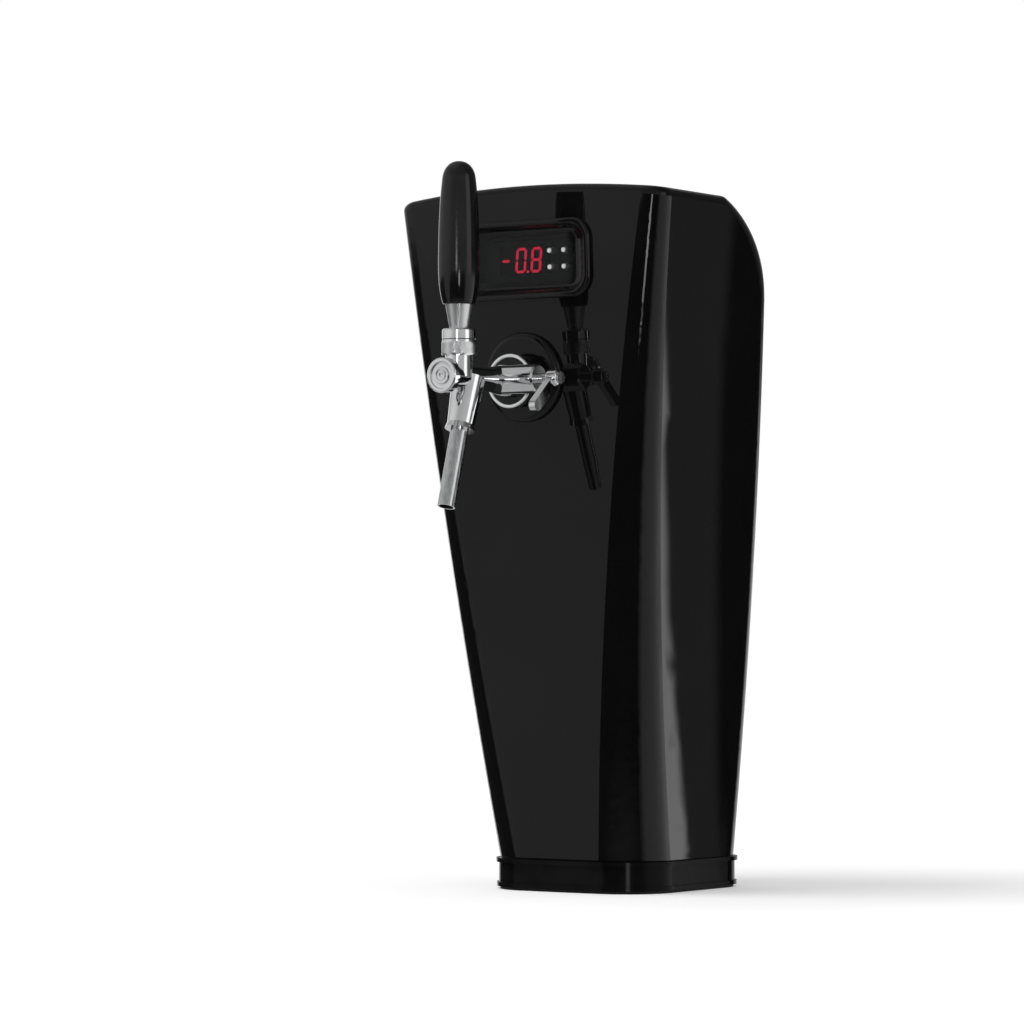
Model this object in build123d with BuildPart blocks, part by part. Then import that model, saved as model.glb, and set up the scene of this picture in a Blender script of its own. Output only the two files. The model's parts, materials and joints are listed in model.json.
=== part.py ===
"""Counter tower for draught beer with one lever tap, a flow compensator and a digital thermostat.

Millimetres. The origin is the middle of the underside, +Z is up, the tap faces -Y and +X is on the
right of a person who stands in front of it.
"""

import os
from math import cos, radians, sin, sqrt, tan

from build123d import *

os.makedirs("parts", exist_ok=True)

# Fits
SLIDE_CLEARANCE = 0.08
FIXED_CLEARANCE = 0.05
PANEL_CLEARANCE = 0.3
SCREW_CLEARANCE = 0.2

# Tower outline: full width, reach to the front and reach to the rear at three heights
TOWER_HEIGHT = 502.5
LOW_STATION = 22.5
STATION_DROP = 40.0
HIGH_STATION = TOWER_HEIGHT - STATION_DROP
WIDTH_LOW = 139.6
WIDTH_MIDDLE = 175.4
WIDTH_HIGH = 220.4
FRONT_LOW = 74.5
FRONT_MIDDLE = 106.7
FRONT_HIGH = 123.1
REAR_LOW = 73.8
REAR_MIDDLE = 71.5
REAR_HIGH = 48.1
FRONT_CORNER_LOW = 38.0
FRONT_CORNER_HIGH = 18.0
REAR_CORNER_LOW = 34.0
REAR_CORNER_HIGH = 26.0
REAR_CORNER_TOP = 70.0
FRONT_BOW = 1000.0
CROWN_RADIUS = 1000.0
TOP_EDGE_RADIUS = 6.0
TOP_REAR_RADIUS = 90.0
TOP_REAR_OVERSHOOT = 2.0
SHELL_WALL = 4.0

# Base
GASKET_THICK = 2.0
PLINTH_HEIGHT = 20.5
PLINTH_PROUD = 1.0
PLINTH_LIP_PROUD = 3.0
PLINTH_LIP_HEIGHT = 3.0
PLINTH_FOOT_PROUD = 2.5
PLINTH_FOOT_HEIGHT = 3.0
PLINTH_WALL = 9.0
WEB_HEIGHT = 6.0
WEB_THICK = 6.0
PLATE_THICK = 4.0
SPIGOT_HEIGHT = 12.0
SPIGOT_THICK = 5.0
PORT_RADIUS = 34.0
BOLT_SPACING_X = 90.0
BOLT_SPACING_Y = 96.0
BOLT_HOLE_RADIUS = 4.2
BOLT_COLUMN_RADIUS = 8.0
TIE_SPACING_X = 110.0
TIE_SPACING_Y = 28.0
TIE_RADIUS = 2.5
TIE_HEAD_RADIUS = 4.4
TIE_HEAD_HEIGHT = 3.5
TIE_THREAD_LENGTH = 18.0
TIE_BOSS_RADIUS = 5.5
TIE_BOSS_HEIGHT = 26.0

# Rear cover
COVER_WIDTH = 76.0
COVER_START_HEIGHT = 90.0
COVER_LENGTH = 250.0
COVER_CORNER = 8.0
COVER_THICK = 2.0
COVER_LEDGE = 11.0
COVER_SCREW_RADIUS = 1.75
COVER_SCREW_LENGTH = 9.0
COVER_SCREW_HEAD_RADIUS = 3.3
COVER_SCREW_HEAD_HEIGHT = 2.0
COVER_SCREW_INSET = 5.5
COVER_SCREW_SINK = 1.0

# Beer line and its fittings
LINE_RADIUS = 4.75
LINE_BORE_RADIUS = 3.25
LINE_BEND = 45.0
LINE_INSERT = 12.0
SLEEVE_RADIUS = 20.0
SLEEVE_GAP_UNDER_BEND = 6.0
UNION_STEM_RADIUS = 8.0
UNION_STEM_DROP = 9.0
UNION_FLANGE_ACROSS = 24.0
UNION_FLANGE_THICK = 4.0
UNION_SOCKET_RADIUS = 9.0
UNION_SOCKET_HEIGHT = 18.0
UNION_PORT_RADIUS = 4.85
UNION_PORT_DEPTH = 15.0
UNION_NUT_ACROSS = 22.0
UNION_NUT_THICK = 5.0

# Boss, flange and shank
TAP_DROP = 139.5
TAP_HEIGHT = TOWER_HEIGHT - TAP_DROP
BOSS_RADIUS = 32.0
BOSS_THICK = 5.0
BOSS_ROUND = 4.4
BOSS_RISE = 3.5
HUB_RADIUS = 18.0
HUB_LENGTH = 16.0
FLANGE_RADIUS = 19.3
FLANGE_THICK = 4.0
FLANGE_RING_WIDTH = 2.8
FLANGE_PROUD = 0.4
SHANK_RADIUS = 11.0
SHANK_BORE_RADIUS = 5.0
SHANK_NOSE_RADIUS = 8.0
SHANK_NOSE_LENGTH = 5.0
WASHER_RADIUS = 17.0
WASHER_THICK = 2.5
SHANK_NUT_ACROSS = 30.0
SHANK_NUT_THICK = 8.0
SHANK_TAIL = 6.0
TAIL_NUT_RADIUS = 14.0
TAIL_NUT_THICK = 10.0
TAIL_FLANGE_RADIUS = 10.0
TAIL_FLANGE_THICK = 3.0
TAIL_RADIUS = 8.0
TAIL_LENGTH = 26.0

# Tap body, measured forward from the front of the flange
BODY_COLLAR_RADIUS = 12.0
BODY_COLLAR_LENGTH = 3.0
BODY_WAIST_FROM = 25.0
BARREL_RADIUS = 8.4
BODY_LENGTH = 79.0
FLOW_BORE_RADIUS = 6.5
FLOW_BORE_LENGTH = 26.0
THROAT_RADIUS = 4.0
THROAT_LENGTH = 4.0
SPOOL_BORE_RADIUS = 6.0
CAP_THREAD_RADIUS = 10.5
CAP_SKIRT = 2.5
CAP_RADIUS = 12.3
CAP_THICK = 4.0
CAP_RIM = 3.0
CAP_RECESS = 1.6
CAP_BUTTON_RADIUS = 5.2
CAP_HOLE_RADIUS = 1.3
CAP_HOLE_DEPTH = 2.2
CAP_SEAL_INNER = 7.0
CAP_SEAL_OUTER = 9.0
CAP_SEAL_THICK = 1.0

# Lever: pivot above the tap axis, collars, ferrule and handle
LEVER_FORWARD = 61.5
PIVOT_RISE = 18.0
NECK_RADIUS = 9.5
BALL_RADIUS = 6.5
BALL_CLEARANCE = 0.3
ARM_RADIUS = 1.6
ARM_TIP_RADIUS = 2.5
ARM_SLOT_HALF_WIDTH = 3.0
PIN_RADIUS = 1.5
PIN_LENGTH = 18.0
STEM_RADIUS = 3.2
STEM_SLOT_CLEARANCE = 0.3
PULL_ANGLE = 20.0
PUSH_ANGLE = 10.0
COLLAR_RADIUS = 11.7
LOWER_COLLAR_SKIRT = 3.4
LOWER_COLLAR_RISE = 7.3
COLLAR_GAP = 0.4
UPPER_COLLAR_HEIGHT = 7.6
COLLAR_SHOULDER = 1.6
STUD_RADIUS = 4.0
STUD_LENGTH = 45.0
FERRULE_HEIGHT = 16.7
FERRULE_LOW_RADIUS = 6.5
FERRULE_HIGH_RADIUS = 9.5
HANDLE_HEIGHT = 99.7
HANDLE_LOW_RADIUS = 11.0
HANDLE_BELLY_RADIUS = 14.4
HANDLE_BELLY_HEIGHT = 38.0
HANDLE_TOP_RADIUS = 11.7
HANDLE_DOME_HEIGHT = 12.0
HANDLE_FOOT_ROUND = 1.2

# Spool, measured forward from the flange like the body
SPOOL_REAR_END = 42.0
SPOOL_REAR_LAND = 15.0
SPOOL_FRONT_LAND = 6.5
SPOOL_WAIST_RADIUS = 3.6
SPOOL_WAIST_HALF = 6.0
SPOOL_BORE = 1.8
SPOOL_SLOT_CLEARANCE = 0.25
SPOOL_SEAL_WIRE = 0.8
SPOOL_SEAL_INSET = 3.0

# Spout
SPOUT_TILT = 16.7
SPOUT_FORWARD = 49.5
SPOUT_SOCKET_TOP_RADIUS = 11.7
SPOUT_SOCKET_LOW_RADIUS = 9.4
SPOUT_SOCKET_LENGTH = 38.5
SPOUT_LIP_RADIUS = 10.6
SPOUT_LIP_LENGTH = 4.0
SPOUT_SOCKET_DEPTH = 24.5
SPOUT_PORT_RADIUS = 4.2
SPOUT_RADIUS = 6.25
SPOUT_WALL = 1.2
SPOUT_LENGTH = 80.5
SPOUT_SEAL_THICK = 2.0
SPOUT_SEAL_DEPTH = 1.2
SPOUT_SEAL_FROM_SHOULDER = 6.0

# Flow compensator on the right of the body
COMPENSATOR_FORWARD = 11.0
HOUSING_RADIUS = 10.25
HOUSING_LENGTH = 27.0
HOUSING_BORE_RADIUS = 5.1
GLAND_HEAD = 6.0
GLAND_NOSE = 13.0
GLAND_CHAMFER = 1.2
SPINDLE_RADIUS = 3.5
SPINDLE_FLANGE_RADIUS = 4.9
SPINDLE_FLANGE_THICK = 4.0
SPINDLE_START_GAP = 0.4
SPINDLE_SEAL_THICK = 2.4
LEVER_HUB_GAP = 8.0
LEVER_HUB_RADIUS = 6.0
LEVER_HUB_LENGTH = 9.0
PADDLE_LENGTH = 35.0
PADDLE_WIDTH = 8.5
PADDLE_THICK = 5.0
PADDLE_ANGLE = 40.0
LEVER_SCREW_RADIUS = 3.0
LEVER_SCREW_HEAD = 1.6
LEVER_SCREW_SHANK_RADIUS = 1.5
LEVER_SCREW_SHANK = 6.0
CRANK_THROW = 2.5
CRANK_RADIUS = 1.3
CRANK_REACH = 7.5
CRANK_SLOT_CLEARANCE = 0.15
PLUG_REAR_GAP = 2.5
PLUG_LENGTH = 12.0
PLUG_NOSE = 3.0
PLUG_NOSE_RADIUS = 3.0
PLUG_FLUTE_RADIUS = 1.6

# Thermostat, on a plane that leans with the front of the tower
DISPLAY_DROP = 53.0
DISPLAY_HEIGHT = TOWER_HEIGHT - DISPLAY_DROP
BEZEL_WIDTH = 117.0
BEZEL_HEIGHT = 56.0
BEZEL_CORNER = 15.0
BEZEL_PROUD = 2.0
BEZEL_LIP_DEPTH = 10.0
BEZEL_NECK_INSET = 3.0
BEZEL_NECK_DEPTH = 16.0
BEZEL_RIM_SIDE = 5.5
BEZEL_RIM_TOP = 4.0
BEZEL_MOUTH_WIDTH = BEZEL_WIDTH - 2 * BEZEL_RIM_SIDE
BEZEL_MOUTH_HEIGHT = BEZEL_HEIGHT - 2 * BEZEL_RIM_TOP
BEZEL_MOUTH_CORNER = 13.0
PANEL_MARGIN_SIDE = 5.5
PANEL_MARGIN_TOP = 5.75
PANEL_WIDTH = BEZEL_MOUTH_WIDTH - 2 * PANEL_MARGIN_SIDE
PANEL_HEIGHT = BEZEL_MOUTH_HEIGHT - 2 * PANEL_MARGIN_TOP
PANEL_CORNER = 5.0
PANEL_SINK = 5.0
WINDOW_BORDER = 1.3
WINDOW_THICK = 1.5
CASE_INSET_SIDE = 2.5
CASE_INSET_TOP = 1.25
CASE_WIDTH = PANEL_WIDTH - 2 * CASE_INSET_SIDE
CASE_HEIGHT = PANEL_HEIGHT - 2 * CASE_INSET_TOP
CASE_DEPTH = 50.0
CASE_WALL = 2.0
CASE_STEP = 3.5
BOARD_DEPTH = 2.0
BOARD_THICK = 1.6
CLIP_REACH = 10.0
CLIP_HEIGHT = 16.0
CLIP_DEPTH = 10.0
TERMINAL_WIDTH = 60.0
TERMINAL_HEIGHT = 14.0
TERMINAL_DEPTH = 12.0
MODULE_WIDTH = 38.0
MODULE_HEIGHT = 21.0
MODULE_CENTRE_X = -5.0
DIGIT_GAP = 0.4
DIGIT_THICK = 0.4
DIGIT_WIDTH = 9.0
DIGIT_HEIGHT = 18.0
DIGIT_STROKE = 1.9
DIGIT_SLANT = 0.1
DIGIT_PITCH = 13.0
KEY_RADIUS = 1.6
KEY_PROUD = 0.9
KEY_FLANGE_RADIUS = 2.5
KEY_FLANGE_THICK = 1.0
KEY_STEM = 5.0
KEY_TRAVEL = 0.6
KEY_SWITCH_SIZE = 4.5
KEY_COLUMN_X = 21.0
KEY_PITCH_X = 12.0
KEY_PITCH_Y = 11.6
CABLE_RADIUS = 3.0
CABLE_BEND = 30.0
CABLE_X = 22.0
CABLE_Y = 14.0
CABLE_INSERT = 4.0
SOCKET_RADIUS = 5.5
SOCKET_FLANGE_RADIUS = 7.5
SOCKET_FLANGE_THICK = 3.0
SOCKET_DROP = 9.0
SOCKET_RISE = 8.0

# Heights and places that follow from the sizes above
SHELL_FOOT = GASKET_THICK + PLINTH_HEIGHT
WEB_LOW = GASKET_THICK + WEB_HEIGHT
WEB_TOP = WEB_LOW + WEB_THICK
PLATE_TOP = WEB_TOP + PLATE_THICK
SPIGOT_TOP = SHELL_FOOT + SPIGOT_HEIGHT
TIE_BOSS_LOW = SPIGOT_TOP + PANEL_CLEARANCE
LEAN_STEP = 1.0
CORNER_SHARE = 0.9
FAR = 2.0 * TOWER_HEIGHT
CUT_BEYOND = 20.0


def along(height, low, middle, high):
    """Value on the parabola through the three measured stations of the tower."""
    t = (height - LOW_STATION) / (HIGH_STATION - LOW_STATION)
    return low * (1 - t) * (1 - 2 * t) + 4 * middle * t * (1 - t) + high * t * (2 * t - 1)


def half_width(height):
    """Half the width of the tower at a height."""
    return along(height, WIDTH_LOW, WIDTH_MIDDLE, WIDTH_HIGH) / 2


def front_y(height):
    """Y of the crest of the front at a height."""
    return -along(height, FRONT_LOW, FRONT_MIDDLE, FRONT_HIGH)


def rear_y(height):
    """Y of the rear at a height."""
    return along(height, REAR_LOW, REAR_MIDDLE, REAR_HIGH)


def front_lean(height):
    """How far the front moves in Y for each millimetre up, at a height."""
    return (front_y(height + LEAN_STEP) - front_y(height - LEAN_STEP)) / (2 * LEAN_STEP)


def rear_arc():
    """Height where the rear runs into the arc of its top, and that arc's centre, tangent to the rear."""
    join = TOWER_HEIGHT + TOP_REAR_OVERSHOOT - TOP_REAR_RADIUS
    for _ in range(4):
        slope = (rear_y(join + LEAN_STEP) - rear_y(join - LEAN_STEP)) / (2 * LEAN_STEP)
        length = sqrt(1 + slope**2)
        join = TOWER_HEIGHT + TOP_REAR_OVERSHOOT - TOP_REAR_RADIUS * (1 + slope / length)
    centre_y = rear_y(join) - TOP_REAR_RADIUS / length
    centre_z = join + TOP_REAR_RADIUS * slope / length
    return join, centre_y, centre_z


def rear_profile(height, inset):
    """Y of the rear drawn in by inset, with the arc that carries it over into the top."""
    join, centre_y, centre_z = rear_arc()
    if height <= join:
        return rear_y(height) - inset
    return centre_y + sqrt((TOP_REAR_RADIUS - inset) ** 2 - (height - centre_z) ** 2)


def corner_at(height, low, high):
    """Corner radius at a height, straight between the two stations."""
    t = (height - LOW_STATION) / (HIGH_STATION - LOW_STATION)
    return low + (high - low) * t


def rear_corner_at(height):
    """Corner radius at the rear, which opens out as the rear runs over into the top."""
    join = rear_arc()[0]
    radius = corner_at(height, REAR_CORNER_LOW, REAR_CORNER_HIGH)
    if height <= join:
        return radius
    share = min((height - join) / (TOWER_HEIGHT + TOP_REAR_OVERSHOOT - join), 1.0)
    return radius + (REAR_CORNER_TOP - REAR_CORNER_HIGH) * (1 - sqrt(1 - share**2))


def tower_outline(height, inset, place):
    """Rounded outline with a bowed front, as at a height, drawn in by inset and placed at a height."""
    half = half_width(height) - inset
    front = front_y(height) + inset
    rear = rear_profile(height, inset)
    corner_front = front + FRONT_BOW - sqrt(FRONT_BOW**2 - half**2)
    with BuildSketch(Plane.XY.offset(place)) as outline:
        with BuildLine():
            ThreePointArc((-half, corner_front), (0, front), (half, corner_front))
            Polyline((half, corner_front), (half, rear), (-half, rear), (-half, corner_front))
        make_face()
        front_corner = corner_at(height, FRONT_CORNER_LOW, FRONT_CORNER_HIGH) - inset
        fillet(outline.vertices().sort_by(Axis.Y)[:2], front_corner)
        side_length = rear - corner_front - front_corner
        rear_corner = min(rear_corner_at(height) - inset, CORNER_SHARE * side_length, CORNER_SHARE * half)
        fillet(outline.vertices().sort_by(Axis.Y)[-2:], rear_corner)
    return outline.sketch


def under_the_crown(drop):
    """All that lies under the dome of the top."""
    reach = half_width(TOWER_HEIGHT) + CUT_BEYOND
    crest = TOWER_HEIGHT - drop
    side = crest - CROWN_RADIUS + sqrt(CROWN_RADIUS**2 - reach**2)
    with BuildPart() as under:
        with BuildSketch(Plane.XZ.offset(-FAR)):
            with BuildLine():
                ThreePointArc((-reach, side), (0, crest), (reach, side))
                Polyline((reach, side), (reach, -CUT_BEYOND), (-reach, -CUT_BEYOND), (-reach, side))
            make_face()
        extrude(amount=2 * FAR)
    return under.part


def tower_solid(inset, foot):
    """Solid of the tower drawn in by inset, open downwards to foot."""
    join = rear_arc()[0]
    high = TOWER_HEIGHT + TOP_REAR_OVERSHOOT * 0.7 - inset
    lower_heights = [foot + (join - foot) * step / 4 for step in range(5)]
    upper_heights = [join + (high - join) * sin(radians(22.5 * step)) for step in range(5)]
    with BuildPart() as solid:
        for height in lower_heights:
            add(tower_outline(height, inset, height))
        loft()
        for height in upper_heights:
            add(tower_outline(height, inset, height))
        loft()
        add(under_the_crown(inset), mode=Mode.INTERSECT)
    return solid.part


def rounded_rim(solid, radius):
    """The solid with the edge of its dome rounded: the front edge and all that runs on from it."""
    dome = solid.faces().sort_by(Axis.Z)[-1]
    return solid.fillet(radius, [dome.edges().sort_by(Axis.Y)[0]])


outer_solid = rounded_rim(tower_solid(0.0, SHELL_FOOT), TOP_EDGE_RADIUS)
cover_seat_solid = tower_solid(COVER_THICK, SHELL_FOOT - 2)
inner_solid = tower_solid(SHELL_WALL, SHELL_FOOT - 4)

# Places along the tap axis
FACE_Y = front_y(TAP_HEIGHT)
HUB_FRONT = FACE_Y - HUB_LENGTH
FLANGE_FRONT = HUB_FRONT - FLANGE_THICK
HUB_NOSE_RADIUS = FLANGE_RADIUS - FLANGE_RING_WIDTH - FIXED_CLEARANCE
INNER_FACE_Y = front_y(TAP_HEIGHT - WASHER_RADIUS) + SHELL_WALL
WASHER_REAR = INNER_FACE_Y + WASHER_THICK
NUT_REAR = WASHER_REAR + SHANK_NUT_THICK
SHANK_REAR = NUT_REAR + SHANK_TAIL
PIVOT_HEIGHT = TAP_HEIGHT + PIVOT_RISE
LEVER_Y = FLANGE_FRONT - LEVER_FORWARD
COMPENSATOR_Y = FLANGE_FRONT - COMPENSATOR_FORWARD
SPOUT_Y = FLANGE_FRONT - SPOUT_FORWARD
BODY_FRONT = FLANGE_FRONT - BODY_LENGTH


def forward_plane(y):
    """Plane across the tap axis at a Y, looking forward."""
    return Plane(origin=(0, y, TAP_HEIGHT), x_dir=(1, 0, 0), z_dir=(0, -1, 0))


def sideways_plane(x):
    """Plane across the compensator axis at an X, looking to the right."""
    return Plane(origin=(x, COMPENSATOR_Y, TAP_HEIGHT), x_dir=(0, 1, 0), z_dir=(1, 0, 0))


def spout_plane(distance):
    """Plane across the spout axis at a distance from the tap axis, looking out of the spout."""
    tilt = radians(SPOUT_TILT)
    along_spout = Vector(0, -sin(tilt), -cos(tilt))
    start = Vector(0, SPOUT_Y, TAP_HEIGHT) + along_spout * distance
    return Plane(origin=start, x_dir=(1, 0, 0), z_dir=along_spout)


# Thermostat plane: x to the right, y up the leaning front, z out of the front
panel_plane = Plane(
    origin=(0, front_y(DISPLAY_HEIGHT), DISPLAY_HEIGHT), x_dir=(1, 0, 0), z_dir=(0, -1, front_lean(DISPLAY_HEIGHT))
)
WINDOW_FRONT = -PANEL_SINK
WINDOW_REAR = WINDOW_FRONT - WINDOW_THICK
WINDOW_WIDTH = PANEL_WIDTH + 2 * WINDOW_BORDER
WINDOW_HEIGHT = PANEL_HEIGHT + 2 * WINDOW_BORDER
NECK_WIDTH = BEZEL_WIDTH - 2 * BEZEL_NECK_INSET
NECK_HEIGHT = BEZEL_HEIGHT - 2 * BEZEL_NECK_INSET
NECK_CORNER = BEZEL_CORNER - BEZEL_NECK_INSET
BEZEL_REAR = -BEZEL_NECK_DEPTH
CASE_REAR = BEZEL_REAR - CASE_DEPTH
BOARD_FRONT = BEZEL_REAR - BOARD_DEPTH + BOARD_THICK
BOARD_REAR = BEZEL_REAR - BOARD_DEPTH
KEY_PLACES = [
    (KEY_COLUMN_X + column * KEY_PITCH_X, (0.5 - row) * KEY_PITCH_Y)
    for row in (0, 1)
    for column in (0, 1)
]

# Cover screws and where they go
COVER_HIGH = COVER_START_HEIGHT + COVER_LENGTH
COVER_MIDDLE = COVER_START_HEIGHT + COVER_LENGTH / 2
cover_screw_places = [
    (side * (COVER_WIDTH / 2 - COVER_SCREW_INSET), height)
    for side in (-1, 1)
    for height in (COVER_START_HEIGHT + COVER_SCREW_INSET, COVER_MIDDLE, COVER_HIGH - COVER_SCREW_INSET)
]
bolt_places = [
    (sx * BOLT_SPACING_X / 2, sy * BOLT_SPACING_Y / 2) for sx in (-1, 1) for sy in (-1, 1)
]
tie_places = [(sx * TIE_SPACING_X / 2, sy * TIE_SPACING_Y / 2) for sx in (-1, 1) for sy in (-1, 1)]


def cover_prism(grow):
    """Rounded prism through the rear of the tower, the cover's outline grown by grow."""
    with BuildPart() as prism:
        with BuildSketch(Plane.XZ) as outline:
            with Locations((0, COVER_MIDDLE)):
                RectangleRounded(COVER_WIDTH + 2 * grow, COVER_LENGTH + 2 * grow, COVER_CORNER + grow)
        extrude(amount=-FAR)
    return prism.part


def ledge_prism():
    """Prism of the opening inside the cover's ledge."""
    with BuildPart() as prism:
        with BuildSketch(Plane.XZ) as outline:
            with Locations((0, COVER_MIDDLE)):
                Rectangle(COVER_WIDTH - 2 * COVER_LEDGE, COVER_LENGTH - 2 * COVER_LEDGE)
        extrude(amount=-FAR)
    return prism.part


with BuildPart() as cover_blank:
    add(outer_solid)
    add(cover_seat_solid, mode=Mode.SUBTRACT)
    add(cover_prism(0.0), mode=Mode.INTERSECT)

with BuildPart() as cover_recess:
    add(outer_solid)
    add(cover_seat_solid, mode=Mode.SUBTRACT)
    add(cover_prism(PANEL_CLEARANCE), mode=Mode.INTERSECT)

# Tower shell
with BuildPart() as tower_shell:
    add(outer_solid)
    add(inner_solid, mode=Mode.SUBTRACT)
    with BuildSketch(Plane.XY.offset(TIE_BOSS_LOW)) as tie_boss_outline:
        for tie_x, tie_y in tie_places:
            outwards = 1 if tie_x > 0 else -1
            reach = half_width(TIE_BOSS_LOW) - SHELL_WALL / 2 - abs(tie_x)
            with Locations((tie_x, tie_y)):
                Circle(TIE_BOSS_RADIUS)
            with Locations((tie_x + outwards * reach / 2, tie_y)):
                Rectangle(reach, 2 * TIE_BOSS_RADIUS)
    extrude(amount=TIE_BOSS_HEIGHT)
    with BuildSketch(Plane.XY.offset(TIE_BOSS_LOW)) as tie_pilot:
        with Locations(*tie_places):
            Circle(TIE_RADIUS + FIXED_CLEARANCE)
    extrude(amount=TIE_THREAD_LENGTH + 2, mode=Mode.SUBTRACT)
    add(cover_recess.part, mode=Mode.SUBTRACT)
    add(ledge_prism(), mode=Mode.SUBTRACT)
    with BuildSketch(forward_plane(SHANK_REAR)) as shank_hole:
        Circle(SHANK_RADIUS + FIXED_CLEARANCE)
    extrude(amount=SHANK_REAR - BODY_FRONT, mode=Mode.SUBTRACT)
    with BuildSketch(panel_plane.offset(-BEZEL_NECK_DEPTH - 4)) as bezel_hole:
        RectangleRounded(
            NECK_WIDTH + 2 * PANEL_CLEARANCE,
            NECK_HEIGHT + 2 * PANEL_CLEARANCE,
            NECK_CORNER + PANEL_CLEARANCE,
        )
    extrude(amount=BEZEL_NECK_DEPTH + CUT_BEYOND, mode=Mode.SUBTRACT)
    for screw_x, screw_z in cover_screw_places:
        pilot = Plane(origin=(screw_x, 0, screw_z), x_dir=(1, 0, 0), z_dir=(0, 1, 0))
        with BuildSketch(pilot):
            Circle(COVER_SCREW_RADIUS + FIXED_CLEARANCE)
        extrude(amount=FAR, mode=Mode.SUBTRACT)
tower_shell.part.label = "tower_shell"
export_step(tower_shell.part, "parts/tower_shell.step")

# Rear cover, flush in the rear of the shell
with BuildPart() as rear_cover:
    add(cover_blank.part)
    for screw_x, screw_z in cover_screw_places:
        through = Plane(origin=(screw_x, 0, screw_z), x_dir=(1, 0, 0), z_dir=(0, 1, 0))
        with BuildSketch(through):
            Circle(COVER_SCREW_RADIUS + SCREW_CLEARANCE)
        extrude(amount=FAR, mode=Mode.SUBTRACT)
        with BuildSketch(through.offset(rear_y(screw_z) - COVER_SCREW_SINK)):
            Circle(COVER_SCREW_HEAD_RADIUS + SCREW_CLEARANCE)
        extrude(amount=FAR, mode=Mode.SUBTRACT)
rear_cover.part.label = "rear_cover"
export_step(rear_cover.part, "parts/rear_cover.step")

# Screws of the rear cover, as one group
with BuildPart() as rear_cover_screws:
    for screw_x, screw_z in cover_screw_places:
        seat = Plane(
            origin=(screw_x, rear_y(screw_z) - COVER_SCREW_SINK, screw_z), x_dir=(1, 0, 0), z_dir=(0, 1, 0)
        )
        with BuildSketch(seat):
            Circle(COVER_SCREW_HEAD_RADIUS)
        extrude(amount=COVER_SCREW_HEAD_HEIGHT)
        with BuildSketch(seat):
            Circle(COVER_SCREW_RADIUS)
        extrude(amount=-COVER_SCREW_LENGTH)
rear_cover_screws.part.label = "rear_cover_screws"
export_step(rear_cover_screws.part, "parts/rear_cover_screws.step")

# Plinth under the shell, with a web for the plate and a spigot inside the shell
with BuildPart() as base_plinth:
    add(tower_outline(SHELL_FOOT, -PLINTH_PROUD, GASKET_THICK))
    extrude(amount=PLINTH_HEIGHT)
    add(tower_outline(SHELL_FOOT, -PLINTH_FOOT_PROUD, GASKET_THICK))
    extrude(amount=PLINTH_FOOT_HEIGHT)
    add(tower_outline(SHELL_FOOT, -PLINTH_LIP_PROUD, SHELL_FOOT - PLINTH_LIP_HEIGHT))
    extrude(amount=PLINTH_LIP_HEIGHT)
    add(tower_outline(SHELL_FOOT, PLINTH_WALL, WEB_TOP))
    extrude(amount=SHELL_FOOT - WEB_TOP, mode=Mode.SUBTRACT)
    add(tower_outline(SHELL_FOOT, PLINTH_WALL, GASKET_THICK))
    extrude(amount=WEB_HEIGHT, mode=Mode.SUBTRACT)
    add(tower_outline(SHELL_FOOT, SHELL_WALL + PANEL_CLEARANCE, SHELL_FOOT))
    extrude(amount=SPIGOT_HEIGHT)
    add(tower_outline(SHELL_FOOT, SHELL_WALL + PANEL_CLEARANCE + SPIGOT_THICK, SHELL_FOOT))
    extrude(amount=SPIGOT_HEIGHT, mode=Mode.SUBTRACT)
    with BuildSketch(Plane.XY.offset(GASKET_THICK)) as bolt_columns:
        with Locations(*bolt_places):
            Circle(BOLT_COLUMN_RADIUS)
    extrude(amount=WEB_HEIGHT)
    with BuildSketch(Plane.XY) as web_holes:
        Circle(PORT_RADIUS)
        with Locations(*bolt_places):
            Circle(BOLT_HOLE_RADIUS)
        with Locations(*tie_places):
            Circle(TIE_RADIUS + SCREW_CLEARANCE)
    extrude(amount=SHELL_FOOT, mode=Mode.SUBTRACT)
base_plinth.part.label = "base_plinth"
export_step(base_plinth.part, "parts/base_plinth.step")

# Steel plate on the web
with BuildPart() as base_plate:
    add(tower_outline(SHELL_FOOT, PLINTH_WALL + PANEL_CLEARANCE, WEB_TOP))
    extrude(amount=PLATE_THICK)
    with BuildSketch(Plane.XY.offset(WEB_TOP)) as plate_holes:
        Circle(UNION_STEM_RADIUS + SCREW_CLEARANCE)
        with Locations((CABLE_X, CABLE_Y)):
            Circle(SOCKET_RADIUS + SCREW_CLEARANCE)
        with Locations(*bolt_places):
            Circle(BOLT_HOLE_RADIUS)
        with Locations(*tie_places):
            Circle(TIE_RADIUS + SCREW_CLEARANCE)
    extrude(amount=PLATE_THICK, mode=Mode.SUBTRACT)
base_plate.part.label = "base_plate"
export_step(base_plate.part, "parts/base_plate.step")

# Gasket between the plinth and the counter
with BuildPart() as base_gasket:
    add(tower_outline(SHELL_FOOT, 0.0, 0.0))
    extrude(amount=GASKET_THICK)
    with BuildSketch(Plane.XY) as gasket_holes:
        Circle(PORT_RADIUS)
        with Locations(*bolt_places):
            Circle(BOLT_HOLE_RADIUS)
    extrude(amount=GASKET_THICK, mode=Mode.SUBTRACT)
base_gasket.part.label = "base_gasket"
export_step(base_gasket.part, "parts/base_gasket.step")

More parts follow.
